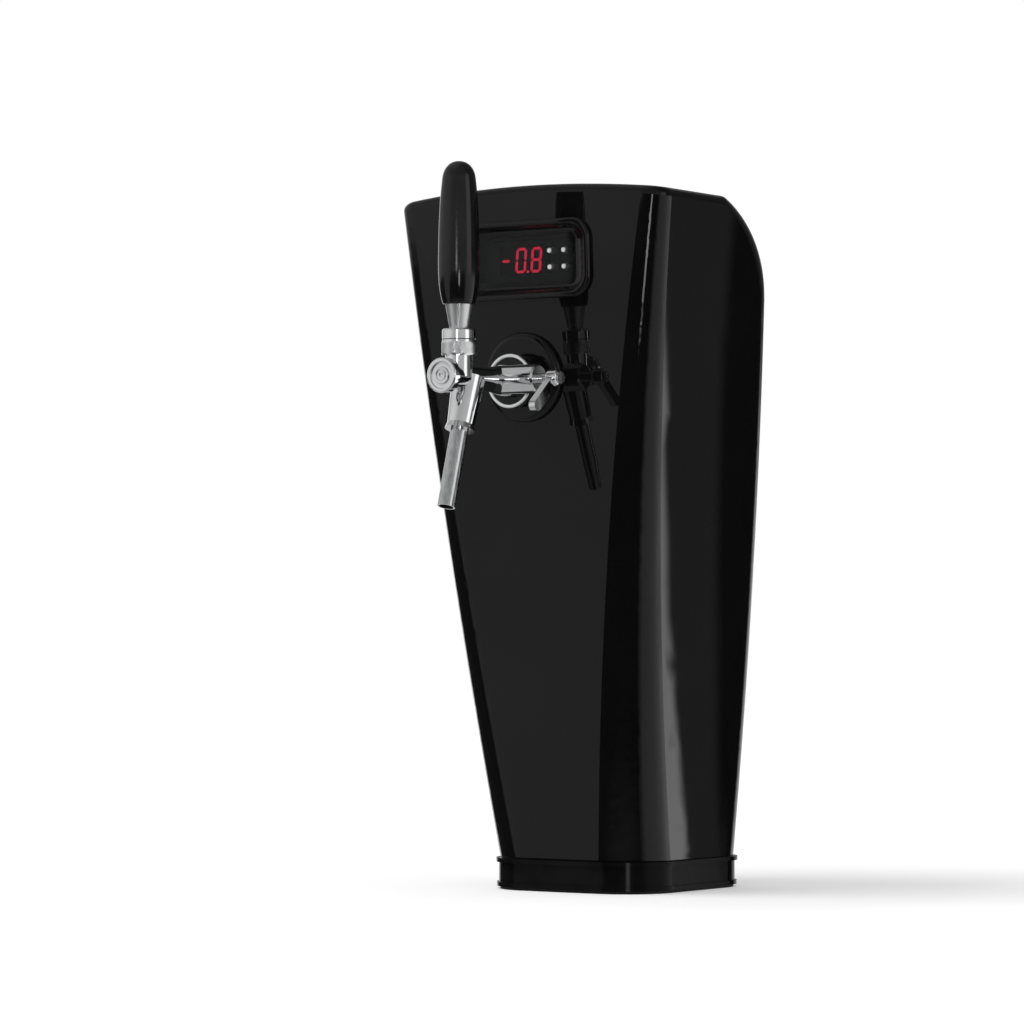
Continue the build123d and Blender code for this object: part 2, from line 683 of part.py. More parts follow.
# Long screws that draw the shell down on the plinth, heads under the web
with BuildPart() as shell_screws:
    with BuildSketch(Plane.XY.offset(WEB_LOW)) as tie_shanks:
        with Locations(*tie_places):
            Circle(TIE_RADIUS)
    extrude(amount=TIE_BOSS_LOW + TIE_THREAD_LENGTH - WEB_LOW)
    with BuildSketch(Plane.XY.offset(WEB_LOW)) as tie_heads:
        with Locations(*tie_places):
            Circle(TIE_HEAD_RADIUS)
    extrude(amount=-TIE_HEAD_HEIGHT)
shell_screws.part.label = "shell_screws"
export_step(shell_screws.part, "parts/shell_screws.step")

# Inlet union through the plate: push-fit port below, socket for the beer line above
UNION_SEAT = PLATE_TOP + UNION_FLANGE_THICK
LINE_LOW = UNION_SEAT + UNION_SOCKET_HEIGHT - LINE_INSERT
with BuildPart() as inlet_union:
    with BuildSketch(Plane.XY.offset(WEB_TOP - UNION_STEM_DROP)):
        Circle(UNION_STEM_RADIUS)
    extrude(amount=PLATE_TOP - WEB_TOP + UNION_STEM_DROP)
    with BuildSketch(Plane.XY.offset(PLATE_TOP)):
        RegularPolygon(UNION_FLANGE_ACROSS / 2, 6, major_radius=False)
    extrude(amount=UNION_FLANGE_THICK)
    with BuildSketch(Plane.XY.offset(UNION_SEAT)):
        Circle(UNION_SOCKET_RADIUS)
    extrude(amount=UNION_SOCKET_HEIGHT)
    with BuildSketch(Plane.XY.offset(LINE_LOW)):
        Circle(LINE_RADIUS + FIXED_CLEARANCE)
    extrude(amount=LINE_INSERT, mode=Mode.SUBTRACT)
    with BuildSketch(Plane.XY.offset(WEB_TOP - UNION_STEM_DROP)):
        Circle(UNION_PORT_RADIUS)
    extrude(amount=UNION_PORT_DEPTH, mode=Mode.SUBTRACT)
    with BuildSketch(Plane.XY):
        Circle(LINE_BORE_RADIUS)
    extrude(amount=LINE_LOW + 1, mode=Mode.SUBTRACT)
inlet_union.part.label = "inlet_union"
export_step(inlet_union.part, "parts/inlet_union.step")

# Lock nut of the union, under the plate
with BuildPart() as union_nut:
    with BuildSketch(Plane.XY.offset(WEB_TOP)):
        RegularPolygon(UNION_NUT_ACROSS / 2, 6, major_radius=False)
        Circle(UNION_STEM_RADIUS + FIXED_CLEARANCE, mode=Mode.SUBTRACT)
    extrude(amount=-UNION_NUT_THICK)
union_nut.part.label = "union_nut"
export_step(union_nut.part, "parts/union_nut.step")

# Beer line: down inside the tower from the tail piece to the union
TAIL_REAR = SHANK_REAR + TAIL_LENGTH
LINE_START = TAIL_REAR - LINE_INSERT
with BuildPart() as beer_line:
    with BuildLine() as line_route:
        FilletPolyline(
            (0, LINE_START, TAP_HEIGHT), (0, 0, TAP_HEIGHT), (0, 0, LINE_LOW), radius=LINE_BEND
        )
    with BuildSketch(Plane(origin=(0, LINE_START, TAP_HEIGHT), x_dir=(1, 0, 0), z_dir=(0, 1, 0))):
        Circle(LINE_RADIUS)
        Circle(LINE_BORE_RADIUS, mode=Mode.SUBTRACT)
    sweep()
beer_line.part.label = "beer_line"
export_step(beer_line.part, "parts/beer_line.step")

# Foam sleeve round the straight run of the line, standing on the union
SLEEVE_LOW = UNION_SEAT + UNION_SOCKET_HEIGHT
SLEEVE_HIGH = TAP_HEIGHT - LINE_BEND - SLEEVE_GAP_UNDER_BEND
with BuildPart() as line_sleeve:
    with BuildSketch(Plane.XY.offset(SLEEVE_LOW)):
        Circle(SLEEVE_RADIUS)
        Circle(LINE_RADIUS + SCREW_CLEARANCE, mode=Mode.SUBTRACT)
    extrude(amount=SLEEVE_HIGH - SLEEVE_LOW)
line_sleeve.part.label = "line_sleeve"
export_step(line_sleeve.part, "parts/line_sleeve.step")

# Boss: a disc on the leaning front and a level hub for the tap
boss_height = TAP_HEIGHT + BOSS_RISE
boss_plane = Plane(
    origin=(0, front_y(boss_height), boss_height), x_dir=(1, 0, 0), z_dir=(0, -1, front_lean(boss_height))
)
with BuildPart() as tap_boss:
    with BuildSketch(boss_plane.offset(-SHELL_WALL)):
        Circle(BOSS_RADIUS)
    extrude(amount=SHELL_WALL + BOSS_THICK)
    fillet(tap_boss.edges().sort_by(Axis.Y)[0], min(BOSS_ROUND, 0.9 * BOSS_THICK))
    with BuildSketch(forward_plane(FACE_Y)):
        Circle(HUB_RADIUS)
    extrude(amount=HUB_LENGTH)
    with BuildSketch(forward_plane(HUB_FRONT)):
        Circle(HUB_NOSE_RADIUS)
    extrude(amount=FLANGE_THICK)
    with BuildSketch(forward_plane(FACE_Y + 2 * SHELL_WALL)):
        Circle(SHANK_RADIUS + FIXED_CLEARANCE)
    extrude(amount=2 * SHELL_WALL + HUB_LENGTH + FLANGE_THICK, mode=Mode.SUBTRACT)
    add(outer_solid, mode=Mode.SUBTRACT)
tap_boss.part.label = "tap_boss"
export_step(tap_boss.part, "parts/tap_boss.step")

# Chrome ring round the nose of the boss
with BuildPart() as shank_flange:
    with BuildSketch(forward_plane(HUB_FRONT)):
        Circle(FLANGE_RADIUS)
        Circle(HUB_NOSE_RADIUS + FIXED_CLEARANCE, mode=Mode.SUBTRACT)
    extrude(amount=FLANGE_THICK + FLANGE_PROUD)
    front_edges = shank_flange.edges().group_by(Axis.Y)[0]
    fillet(front_edges, FLANGE_RING_WIDTH / 3)
shank_flange.part.label = "shank_flange"
export_step(shank_flange.part, "parts/shank_flange.step")

# Threaded shank through the wall, its nose in the tap body
with BuildPart() as tap_shank:
    with BuildSketch(forward_plane(SHANK_REAR)):
        Circle(SHANK_RADIUS)
    extrude(amount=SHANK_REAR - FLANGE_FRONT)
    with BuildSketch(forward_plane(FLANGE_FRONT)):
        Circle(SHANK_NOSE_RADIUS)
    extrude(amount=SHANK_NOSE_LENGTH)
    with BuildSketch(forward_plane(SHANK_REAR)):
        Circle(SHANK_BORE_RADIUS)
    extrude(amount=SHANK_REAR - FLANGE_FRONT + SHANK_NOSE_LENGTH, mode=Mode.SUBTRACT)
tap_shank.part.label = "tap_shank"
export_step(tap_shank.part, "parts/tap_shank.step")

# Washer cut to the leaning inside of the wall
with BuildPart() as shank_washer:
    with BuildSketch(forward_plane(WASHER_REAR)):
        Circle(WASHER_RADIUS)
        Circle(SHANK_RADIUS + FIXED_CLEARANCE, mode=Mode.SUBTRACT)
    extrude(amount=WASHER_REAR - FACE_Y + SHELL_WALL)
    add(inner_solid, mode=Mode.INTERSECT)
shank_washer.part.label = "shank_washer"
export_step(shank_washer.part, "parts/shank_washer.step")

# Nut that clamps the tap to the wall
with BuildPart() as shank_nut:
    with BuildSketch(forward_plane(NUT_REAR)):
        RegularPolygon(SHANK_NUT_ACROSS / 2, 6, major_radius=False)
        Circle(SHANK_RADIUS + FIXED_CLEARANCE, mode=Mode.SUBTRACT)
    extrude(amount=SHANK_NUT_THICK)
shank_nut.part.label = "shank_nut"
export_step(shank_nut.part, "parts/shank_nut.step")

# Tail piece that takes the beer line behind the shank
with BuildPart() as tail_piece:
    with BuildSketch(forward_plane(SHANK_REAR + TAIL_FLANGE_THICK)):
        Circle(TAIL_FLANGE_RADIUS)
    extrude(amount=TAIL_FLANGE_THICK)
    with BuildSketch(forward_plane(TAIL_REAR)):
        Circle(TAIL_RADIUS)
    extrude(amount=TAIL_LENGTH - TAIL_FLANGE_THICK)
    with BuildSketch(forward_plane(TAIL_REAR)):
        Circle(LINE_RADIUS + FIXED_CLEARANCE)
    extrude(amount=LINE_INSERT, mode=Mode.SUBTRACT)
    with BuildSketch(forward_plane(TAIL_REAR)):
        Circle(LINE_BORE_RADIUS)
    extrude(amount=TAIL_LENGTH, mode=Mode.SUBTRACT)
tail_piece.part.label = "tail_piece"
export_step(tail_piece.part, "parts/tail_piece.step")

# Nut that holds the tail piece on the shank
with BuildPart() as tail_nut:
    TAIL_NUT_REAR = SHANK_REAR + TAIL_FLANGE_THICK + FLANGE_THICK
    with BuildSketch(forward_plane(TAIL_NUT_REAR)):
        Circle(TAIL_NUT_RADIUS)
    extrude(amount=TAIL_NUT_THICK)
    with BuildSketch(forward_plane(SHANK_REAR + TAIL_FLANGE_THICK)):
        Circle(SHANK_RADIUS + FIXED_CLEARANCE)
    extrude(amount=TAIL_NUT_THICK, mode=Mode.SUBTRACT)
    with BuildSketch(forward_plane(TAIL_NUT_REAR)):
        Circle(TAIL_RADIUS + FIXED_CLEARANCE)
    extrude(amount=TAIL_NUT_THICK, mode=Mode.SUBTRACT)
tail_nut.part.label = "tail_nut"
export_step(tail_nut.part, "parts/tail_nut.step")

# Tap body: barrel along the tap axis, neck, spout socket and compensator housing
SOCKET_BORE_FROM = SPOUT_SOCKET_LENGTH - SPOUT_SOCKET_DEPTH
ARM_SLOT_FORWARD = PIVOT_RISE * tan(radians(max(PUSH_ANGLE, PULL_ANGLE))) + ARM_TIP_RADIUS
with BuildPart() as tap_body:
    with BuildSketch(Plane.YZ) as barrel_profile:
        with BuildLine():
            Polyline(
                (FLANGE_FRONT, TAP_HEIGHT),
                (FLANGE_FRONT, TAP_HEIGHT + BODY_COLLAR_RADIUS),
                (FLANGE_FRONT - BODY_COLLAR_LENGTH, TAP_HEIGHT + BODY_COLLAR_RADIUS),
                (FLANGE_FRONT - BODY_WAIST_FROM, TAP_HEIGHT + BARREL_RADIUS),
                (BODY_FRONT + 2 * CAP_SKIRT, TAP_HEIGHT + BARREL_RADIUS),
                (BODY_FRONT + CAP_SKIRT, TAP_HEIGHT + CAP_THREAD_RADIUS),
                (BODY_FRONT, TAP_HEIGHT + CAP_THREAD_RADIUS),
                (BODY_FRONT, TAP_HEIGHT),
                close=True,
            )
        make_face()
    revolve(axis=Axis((0, FLANGE_FRONT, TAP_HEIGHT), (0, 1, 0)))
    with BuildSketch(Plane.XY.offset(TAP_HEIGHT)) as neck_outline:
        with Locations((0, LEVER_Y)):
            Circle(NECK_RADIUS)
    extrude(amount=PIVOT_RISE)
    with BuildSketch(spout_plane(0)):
        Circle(SPOUT_SOCKET_TOP_RADIUS)
    with BuildSketch(spout_plane(SPOUT_SOCKET_LENGTH - SPOUT_LIP_LENGTH)):
        Circle(SPOUT_SOCKET_LOW_RADIUS)
    loft()
    with BuildSketch(spout_plane(SPOUT_SOCKET_LENGTH - SPOUT_LIP_LENGTH)):
        Circle(SPOUT_SOCKET_LOW_RADIUS)
    with BuildSketch(spout_plane(SPOUT_SOCKET_LENGTH)):
        Circle(SPOUT_LIP_RADIUS)
    loft()
    with BuildSketch(sideways_plane(0)):
        Circle(HOUSING_RADIUS)
    extrude(amount=HOUSING_LENGTH)
    with BuildSketch(forward_plane(FLANGE_FRONT)):
        Circle(SHANK_NOSE_RADIUS + FIXED_CLEARANCE)
    extrude(amount=SHANK_NOSE_LENGTH, mode=Mode.SUBTRACT)
    with BuildSketch(forward_plane(FLANGE_FRONT)):
        Circle(FLOW_BORE_RADIUS)
    extrude(amount=FLOW_BORE_LENGTH, mode=Mode.SUBTRACT)
    with BuildSketch(forward_plane(FLANGE_FRONT)):
        Circle(THROAT_RADIUS)
    extrude(amount=FLOW_BORE_LENGTH + THROAT_LENGTH, mode=Mode.SUBTRACT)
    with BuildSketch(forward_plane(FLANGE_FRONT - FLOW_BORE_LENGTH - THROAT_LENGTH)):
        Circle(SPOOL_BORE_RADIUS)
    extrude(amount=BODY_LENGTH, mode=Mode.SUBTRACT)
    with BuildSketch(Plane.XY.offset(TAP_HEIGHT)) as arm_slot:
        with Locations((0, LEVER_Y)):
            Rectangle(2 * ARM_SLOT_HALF_WIDTH, 2 * min(ARM_SLOT_FORWARD, BALL_RADIUS))
    extrude(amount=PIVOT_RISE, mode=Mode.SUBTRACT)
    with BuildSketch(Plane.XY.offset(PIVOT_HEIGHT - BALL_RADIUS - BALL_CLEARANCE)):
        with Locations((0, LEVER_Y)):
            Circle(BALL_RADIUS + BALL_CLEARANCE)
    extrude(amount=BALL_RADIUS + BALL_CLEARANCE, mode=Mode.SUBTRACT)
    with BuildSketch(Plane(origin=(-PIN_LENGTH / 2, LEVER_Y, PIVOT_HEIGHT), x_dir=(0, 1, 0), z_dir=(1, 0, 0))):
        Circle(PIN_RADIUS + FIXED_CLEARANCE)
    extrude(amount=PIN_LENGTH, mode=Mode.SUBTRACT)
    with BuildSketch(spout_plane(0)):
        Circle(SPOUT_PORT_RADIUS)
    extrude(amount=SPOUT_SOCKET_LENGTH, mode=Mode.SUBTRACT)
    with BuildSketch(spout_plane(SOCKET_BORE_FROM)):
        Circle(SPOUT_RADIUS + FIXED_CLEARANCE)
    extrude(amount=SPOUT_SOCKET_DEPTH, mode=Mode.SUBTRACT)
    with BuildSketch(spout_plane(SOCKET_BORE_FROM + SPOUT_SEAL_FROM_SHOULDER)):
        Circle(SPOUT_RADIUS + FIXED_CLEARANCE + SPOUT_SEAL_DEPTH)
    extrude(amount=SPOUT_SEAL_THICK, mode=Mode.SUBTRACT)
    with BuildSketch(sideways_plane(0)):
        Circle(HOUSING_BORE_RADIUS)
    extrude(amount=HOUSING_LENGTH, mode=Mode.SUBTRACT)
tap_body.part.label = "tap_body"
export_step(tap_body.part, "parts/tap_body.step")

# Screw cap on the front of the body, with a sunken ring and a button in its middle
with BuildPart() as front_cap:
    with BuildSketch(forward_plane(BODY_FRONT + CAP_SKIRT)):
        Circle(CAP_RADIUS)
    extrude(amount=CAP_SKIRT + CAP_THICK)
    fillet(front_cap.edges().sort_by(Axis.Y)[0], CAP_THICK / 4)
    with BuildSketch(forward_plane(BODY_FRONT + CAP_SKIRT)):
        Circle(CAP_THREAD_RADIUS + FIXED_CLEARANCE)
    extrude(amount=CAP_SKIRT, mode=Mode.SUBTRACT)
    with BuildSketch(forward_plane(BODY_FRONT)):
        Circle(CAP_SEAL_OUTER + FIXED_CLEARANCE)
        Circle(CAP_SEAL_INNER - FIXED_CLEARANCE, mode=Mode.SUBTRACT)
    extrude(amount=CAP_SEAL_THICK, mode=Mode.SUBTRACT)
    with BuildSketch(forward_plane(BODY_FRONT - CAP_THICK)):
        Circle(CAP_RADIUS - CAP_RIM)
        Circle(CAP_BUTTON_RADIUS, mode=Mode.SUBTRACT)
    extrude(amount=-CAP_RECESS, mode=Mode.SUBTRACT)
    with BuildSketch(forward_plane(BODY_FRONT - CAP_THICK)):
        Circle(CAP_HOLE_RADIUS)
    extrude(amount=-CAP_HOLE_DEPTH, mode=Mode.SUBTRACT)
front_cap.part.label = "front_cap"
export_step(front_cap.part, "parts/front_cap.step")

# Seal under the front cap
with BuildPart() as cap_seal:
    with BuildSketch(forward_plane(BODY_FRONT)):
        Circle(CAP_SEAL_OUTER)
        Circle(CAP_SEAL_INNER, mode=Mode.SUBTRACT)
    extrude(amount=CAP_SEAL_THICK)
cap_seal.part.label = "cap_seal"
export_step(cap_seal.part, "parts/cap_seal.step")

# Pivot pin of the lever, clamped between neck and lower collar
with BuildPart() as pivot_pin:
    with BuildSketch(Plane(origin=(-PIN_LENGTH / 2, LEVER_Y, PIVOT_HEIGHT), x_dir=(0, 1, 0), z_dir=(1, 0, 0))):
        Circle(PIN_RADIUS)
    extrude(amount=PIN_LENGTH)
pivot_pin.part.label = "pivot_pin"
export_step(pivot_pin.part, "parts/pivot_pin.step")

# Lower collar: nut on the neck with a domed, slotted top about the pivot
DOME_RADIUS = sqrt(COLLAR_RADIUS**2 + LOWER_COLLAR_RISE**2)
SLOT_TOP = DOME_RADIUS + 1.0
SLOT_HALF = STEM_RADIUS + STEM_SLOT_CLEARANCE
pull_wide = SLOT_TOP * tan(radians(PULL_ANGLE)) + SLOT_HALF / cos(radians(PULL_ANGLE))
push_wide = SLOT_TOP * tan(radians(PUSH_ANGLE)) + SLOT_HALF / cos(radians(PUSH_ANGLE))
pull_narrow = SLOT_HALF / cos(radians(PULL_ANGLE))
push_narrow = SLOT_HALF / cos(radians(PUSH_ANGLE))
with BuildPart() as lower_collar:
    with BuildSketch(Plane.XY.offset(PIVOT_HEIGHT - LOWER_COLLAR_SKIRT)):
        with Locations((0, LEVER_Y)):
            Circle(COLLAR_RADIUS)
    extrude(amount=LOWER_COLLAR_SKIRT + DOME_RADIUS)
    with Locations((0, LEVER_Y, PIVOT_HEIGHT)):
        Sphere(DOME_RADIUS, mode=Mode.INTERSECT)
    with BuildSketch(Plane.XY.offset(PIVOT_HEIGHT - LOWER_COLLAR_SKIRT)):
        with Locations((0, LEVER_Y)):
            Circle(NECK_RADIUS + FIXED_CLEARANCE)
    extrude(amount=LOWER_COLLAR_SKIRT, mode=Mode.SUBTRACT)
    with Locations((0, LEVER_Y, PIVOT_HEIGHT)):
        Sphere(BALL_RADIUS + BALL_CLEARANCE, mode=Mode.SUBTRACT)
    with BuildSketch(Plane.YZ.offset(-SLOT_HALF)):
        with BuildLine():
            Polyline(
                (LEVER_Y + push_narrow, PIVOT_HEIGHT),
                (LEVER_Y + push_wide, PIVOT_HEIGHT + SLOT_TOP),
                (LEVER_Y - pull_wide, PIVOT_HEIGHT + SLOT_TOP),
                (LEVER_Y - pull_narrow, PIVOT_HEIGHT),
                close=True,
            )
        make_face()
    extrude(amount=2 * SLOT_HALF, mode=Mode.SUBTRACT)
    with BuildSketch(Plane(origin=(-PIN_LENGTH / 2, LEVER_Y, PIVOT_HEIGHT), x_dir=(0, 1, 0), z_dir=(1, 0, 0))):
        Circle(PIN_RADIUS + FIXED_CLEARANCE)
    extrude(amount=PIN_LENGTH, mode=Mode.SUBTRACT)
lower_collar.part.label = "lower_collar"
export_step(lower_collar.part, "parts/lower_collar.step")

# Lever stem: stud, rod, ball on the pin and arm with a round tip in the spool
UPPER_COLLAR_LOW = PIVOT_HEIGHT + LOWER_COLLAR_RISE + COLLAR_GAP
UPPER_COLLAR_TOP = UPPER_COLLAR_LOW + UPPER_COLLAR_HEIGHT
with BuildPart() as lever_stem:
    with Locations((0, LEVER_Y, PIVOT_HEIGHT)):
        Sphere(BALL_RADIUS)
    with BuildSketch(Plane.XY.offset(PIVOT_HEIGHT)):
        with Locations((0, LEVER_Y)):
            Circle(STEM_RADIUS)
    extrude(amount=UPPER_COLLAR_TOP - PIVOT_HEIGHT)
    with BuildSketch(Plane.XY.offset(UPPER_COLLAR_TOP)):
        with Locations((0, LEVER_Y)):
            Circle(STUD_RADIUS)
    extrude(amount=STUD_LENGTH)
    with BuildSketch(Plane.XY.offset(TAP_HEIGHT)):
        with Locations((0, LEVER_Y)):
            Circle(ARM_RADIUS)
    extrude(amount=PIVOT_RISE)
    with Locations((0, LEVER_Y, TAP_HEIGHT)):
        Sphere(ARM_TIP_RADIUS)
    with BuildSketch(Plane(origin=(-PIN_LENGTH / 2, LEVER_Y, PIVOT_HEIGHT), x_dir=(0, 1, 0), z_dir=(1, 0, 0))):
        Circle(PIN_RADIUS + FIXED_CLEARANCE)
    extrude(amount=PIN_LENGTH, mode=Mode.SUBTRACT)
lever_stem.part.label = "lever_stem"
export_step(lever_stem.part, "parts/lever_stem.step")

# Upper collar, hollowed to slide over the dome
with BuildPart() as upper_collar:
    with BuildSketch(Plane.XY.offset(UPPER_COLLAR_LOW)):
        with Locations((0, LEVER_Y)):
            Circle(COLLAR_RADIUS)
    extrude(amount=UPPER_COLLAR_HEIGHT)
    with Locations((0, LEVER_Y, PIVOT_HEIGHT)):
        Sphere(DOME_RADIUS + COLLAR_GAP, mode=Mode.SUBTRACT)
    with BuildSketch(Plane.XY.offset(UPPER_COLLAR_LOW)):
        with Locations((0, LEVER_Y)):
            Circle(STEM_RADIUS + FIXED_CLEARANCE)
    extrude(amount=UPPER_COLLAR_HEIGHT, mode=Mode.SUBTRACT)
    shoulder = upper_collar.edges().group_by(Axis.Z)[-1].sort_by(SortBy.LENGTH)[-1]
    fillet(shoulder, COLLAR_SHOULDER)
upper_collar.part.label = "upper_collar"
export_step(upper_collar.part, "parts/upper_collar.step")

# Chrome ferrule under the handle
HANDLE_LOW = UPPER_COLLAR_TOP + FERRULE_HEIGHT
with BuildPart() as handle_ferrule:
    with BuildSketch(Plane.XY.offset(UPPER_COLLAR_TOP)):
        with Locations((0, LEVER_Y)):
            Circle(FERRULE_LOW_RADIUS)
    with BuildSketch(Plane.XY.offset(HANDLE_LOW)):
        with Locations((0, LEVER_Y)):
            Circle(FERRULE_HIGH_RADIUS)
    loft()
    with BuildSketch(Plane.XY.offset(UPPER_COLLAR_TOP)):
        with Locations((0, LEVER_Y)):
            Circle(STUD_RADIUS + FIXED_CLEARANCE)
    extrude(amount=FERRULE_HEIGHT, mode=Mode.SUBTRACT)
handle_ferrule.part.label = "handle_ferrule"
export_step(handle_ferrule.part, "parts/handle_ferrule.step")

# Handle, turned with a belly and a domed top
HANDLE_TOP = HANDLE_LOW + HANDLE_HEIGHT
with BuildPart() as tap_handle:
    with BuildSketch(Plane.XZ.offset(-LEVER_Y)):
        with BuildLine():
            Spline(
                (HANDLE_LOW_RADIUS, HANDLE_LOW),
                (HANDLE_BELLY_RADIUS, HANDLE_LOW + HANDLE_BELLY_HEIGHT),
                (HANDLE_TOP_RADIUS, HANDLE_TOP - HANDLE_DOME_HEIGHT),
                tangents=((0.35, 1), (-0.12, 1)),
            )
            Spline(
                (HANDLE_TOP_RADIUS, HANDLE_TOP - HANDLE_DOME_HEIGHT),
                (HANDLE_TOP_RADIUS * sqrt(0.5), HANDLE_TOP - HANDLE_DOME_HEIGHT * (1 - sqrt(0.5))),
                (0, HANDLE_TOP),
                tangents=((-0.12, 1), (-1, 0)),
            )
            Polyline((0, HANDLE_TOP), (0, HANDLE_LOW), (HANDLE_LOW_RADIUS, HANDLE_LOW))
        make_face()
    revolve(axis=Axis((0, LEVER_Y, HANDLE_LOW), (0, 0, 1)))
    fillet(tap_handle.faces().sort_by(Axis.Z)[0].edges(), HANDLE_FOOT_ROUND)
    with BuildSketch(Plane.XY.offset(HANDLE_LOW)):
        with Locations((0, LEVER_Y)):
            Circle(STUD_RADIUS + FIXED_CLEARANCE)
    extrude(amount=STUD_LENGTH - FERRULE_HEIGHT, mode=Mode.SUBTRACT)
tap_handle.part.label = "tap_handle"
export_step(tap_handle.part, "parts/tap_handle.step")

# Valve spool with two lands, a waist for the lever's tip and grooves for its seals
SPOOL_RADIUS = SPOOL_BORE_RADIUS - SLIDE_CLEARANCE
SPOOL_REAR = FLANGE_FRONT - SPOOL_REAR_END
SPOOL_FRONT = LEVER_Y - SPOOL_WAIST_HALF - SPOOL_FRONT_LAND
REAR_SEAL_Y = SPOOL_REAR - SPOOL_SEAL_INSET
FRONT_SEAL_Y = SPOOL_FRONT + SPOOL_SEAL_INSET
SEAL_RING_RADIUS = SPOOL_RADIUS - SPOOL_SEAL_WIRE
with BuildPart() as valve_spool:
    with BuildSketch(forward_plane(SPOOL_REAR)):
        Circle(SPOOL_RADIUS)
    extrude(amount=SPOOL_REAR_LAND)
    with BuildSketch(forward_plane(SPOOL_REAR)):
        Circle(SPOOL_WAIST_RADIUS)
    extrude(amount=SPOOL_REAR - SPOOL_FRONT)
    with BuildSketch(forward_plane(LEVER_Y - SPOOL_WAIST_HALF)):
        Circle(SPOOL_RADIUS)
    extrude(amount=SPOOL_FRONT_LAND)
    with BuildSketch(forward_plane(SPOOL_REAR)):
        Circle(SPOOL_BORE)
    extrude(amount=SPOOL_REAR - SPOOL_FRONT, mode=Mode.SUBTRACT)
    with BuildSketch(Plane.XY.offset(TAP_HEIGHT - ARM_TIP_RADIUS - SPOOL_SLOT_CLEARANCE)):
        with Locations((0, LEVER_Y)):
            Rectangle(
                2 * (ARM_TIP_RADIUS + SPOOL_SLOT_CLEARANCE), 2 * (ARM_TIP_RADIUS + SPOOL_SLOT_CLEARANCE)
            )
    extrude(amount=SPOOL_BORE_RADIUS + ARM_TIP_RADIUS, mode=Mode.SUBTRACT)
    for seal_y in (REAR_SEAL_Y, FRONT_SEAL_Y):
        with BuildSketch(forward_plane(seal_y + SPOOL_SEAL_WIRE + FIXED_CLEARANCE)):
            Circle(SPOOL_RADIUS + 1)
            Circle(SEAL_RING_RADIUS - SPOOL_SEAL_WIRE - FIXED_CLEARANCE, mode=Mode.SUBTRACT)
        extrude(amount=2 * (SPOOL_SEAL_WIRE + FIXED_CLEARANCE), mode=Mode.SUBTRACT)
valve_spool.part.label = "valve_spool"
export_step(valve_spool.part, "parts/valve_spool.step")

# Ring seals of the spool, as one group
with BuildPart() as spool_seals:
    for seal_y in (REAR_SEAL_Y, FRONT_SEAL_Y):
        with BuildSketch(Plane.YZ):
            with Locations((seal_y, TAP_HEIGHT + SEAL_RING_RADIUS)):
                Circle(SPOOL_SEAL_WIRE)
        revolve(axis=Axis((0, seal_y, TAP_HEIGHT), (0, 1, 0)))
spool_seals.part.label = "spool_seals"
export_step(spool_seals.part, "parts/spool_seals.step")

# Spout tube in its socket
with BuildPart() as spout_tube:
    with BuildSketch(spout_plane(SOCKET_BORE_FROM)):
        Circle(SPOUT_RADIUS)
        Circle(SPOUT_RADIUS - SPOUT_WALL, mode=Mode.SUBTRACT)
    extrude(amount=SPOUT_LENGTH)
spout_tube.part.label = "spout_tube"
export_step(spout_tube.part, "parts/spout_tube.step")

# Seal round the spout tube in its socket
with BuildPart() as spout_seal:
    with BuildSketch(spout_plane(SOCKET_BORE_FROM + SPOUT_SEAL_FROM_SHOULDER + FIXED_CLEARANCE)):
        Circle(SPOUT_RADIUS + SPOUT_SEAL_DEPTH)
        Circle(SPOUT_RADIUS + FIXED_CLEARANCE, mode=Mode.SUBTRACT)
    extrude(amount=SPOUT_SEAL_THICK - 2 * FIXED_CLEARANCE)
spout_seal.part.label = "spout_seal"
export_step(spout_seal.part, "parts/spout_seal.step")

# Gland that closes the compensator housing
with BuildPart() as compensator_gland:
    with BuildSketch(sideways_plane(HOUSING_LENGTH)):
        Circle(HOUSING_RADIUS)
    extrude(amount=GLAND_HEAD)
    chamfer(compensator_gland.edges().sort_by(Axis.X)[-1], GLAND_CHAMFER)
    with BuildSketch(sideways_plane(HOUSING_LENGTH)):
        Circle(HOUSING_BORE_RADIUS - FIXED_CLEARANCE)
    extrude(amount=-GLAND_NOSE)
    with BuildSketch(sideways_plane(HOUSING_LENGTH - GLAND_NOSE)):
        Circle(SPINDLE_RADIUS + SLIDE_CLEARANCE)
    extrude(amount=GLAND_NOSE + GLAND_HEAD, mode=Mode.SUBTRACT)
compensator_gland.part.label = "compensator_gland"
export_step(compensator_gland.part, "parts/compensator_gland.step")

# Compensator spindle with its crank pin in the flow plug
SPINDLE_START = FLOW_BORE_RADIUS + SPINDLE_START_GAP
HUB_START = HOUSING_LENGTH + GLAND_HEAD + LEVER_HUB_GAP
HUB_END = HUB_START + LEVER_HUB_LENGTH
with BuildPart() as compensator_spindle:
    with BuildSketch(sideways_plane(SPINDLE_START)):
        Circle(SPINDLE_RADIUS)
    extrude(amount=HUB_END - SPINDLE_START)
    with BuildSketch(sideways_plane(SPINDLE_START)):
        Circle(SPINDLE_FLANGE_RADIUS)
    extrude(amount=SPINDLE_FLANGE_THICK)
    with BuildSketch(sideways_plane(SPINDLE_START)):
        with Locations((0, CRANK_THROW)):
            Circle(CRANK_RADIUS)
    extrude(amount=-CRANK_REACH)
    with BuildSketch(sideways_plane(HUB_END)):
        Circle(LEVER_SCREW_SHANK_RADIUS + FIXED_CLEARANCE)
    extrude(amount=-LEVER_SCREW_SHANK, mode=Mode.SUBTRACT)
compensator_spindle.part.label = "compensator_spindle"
export_step(compensator_spindle.part, "parts/compensator_spindle.step")

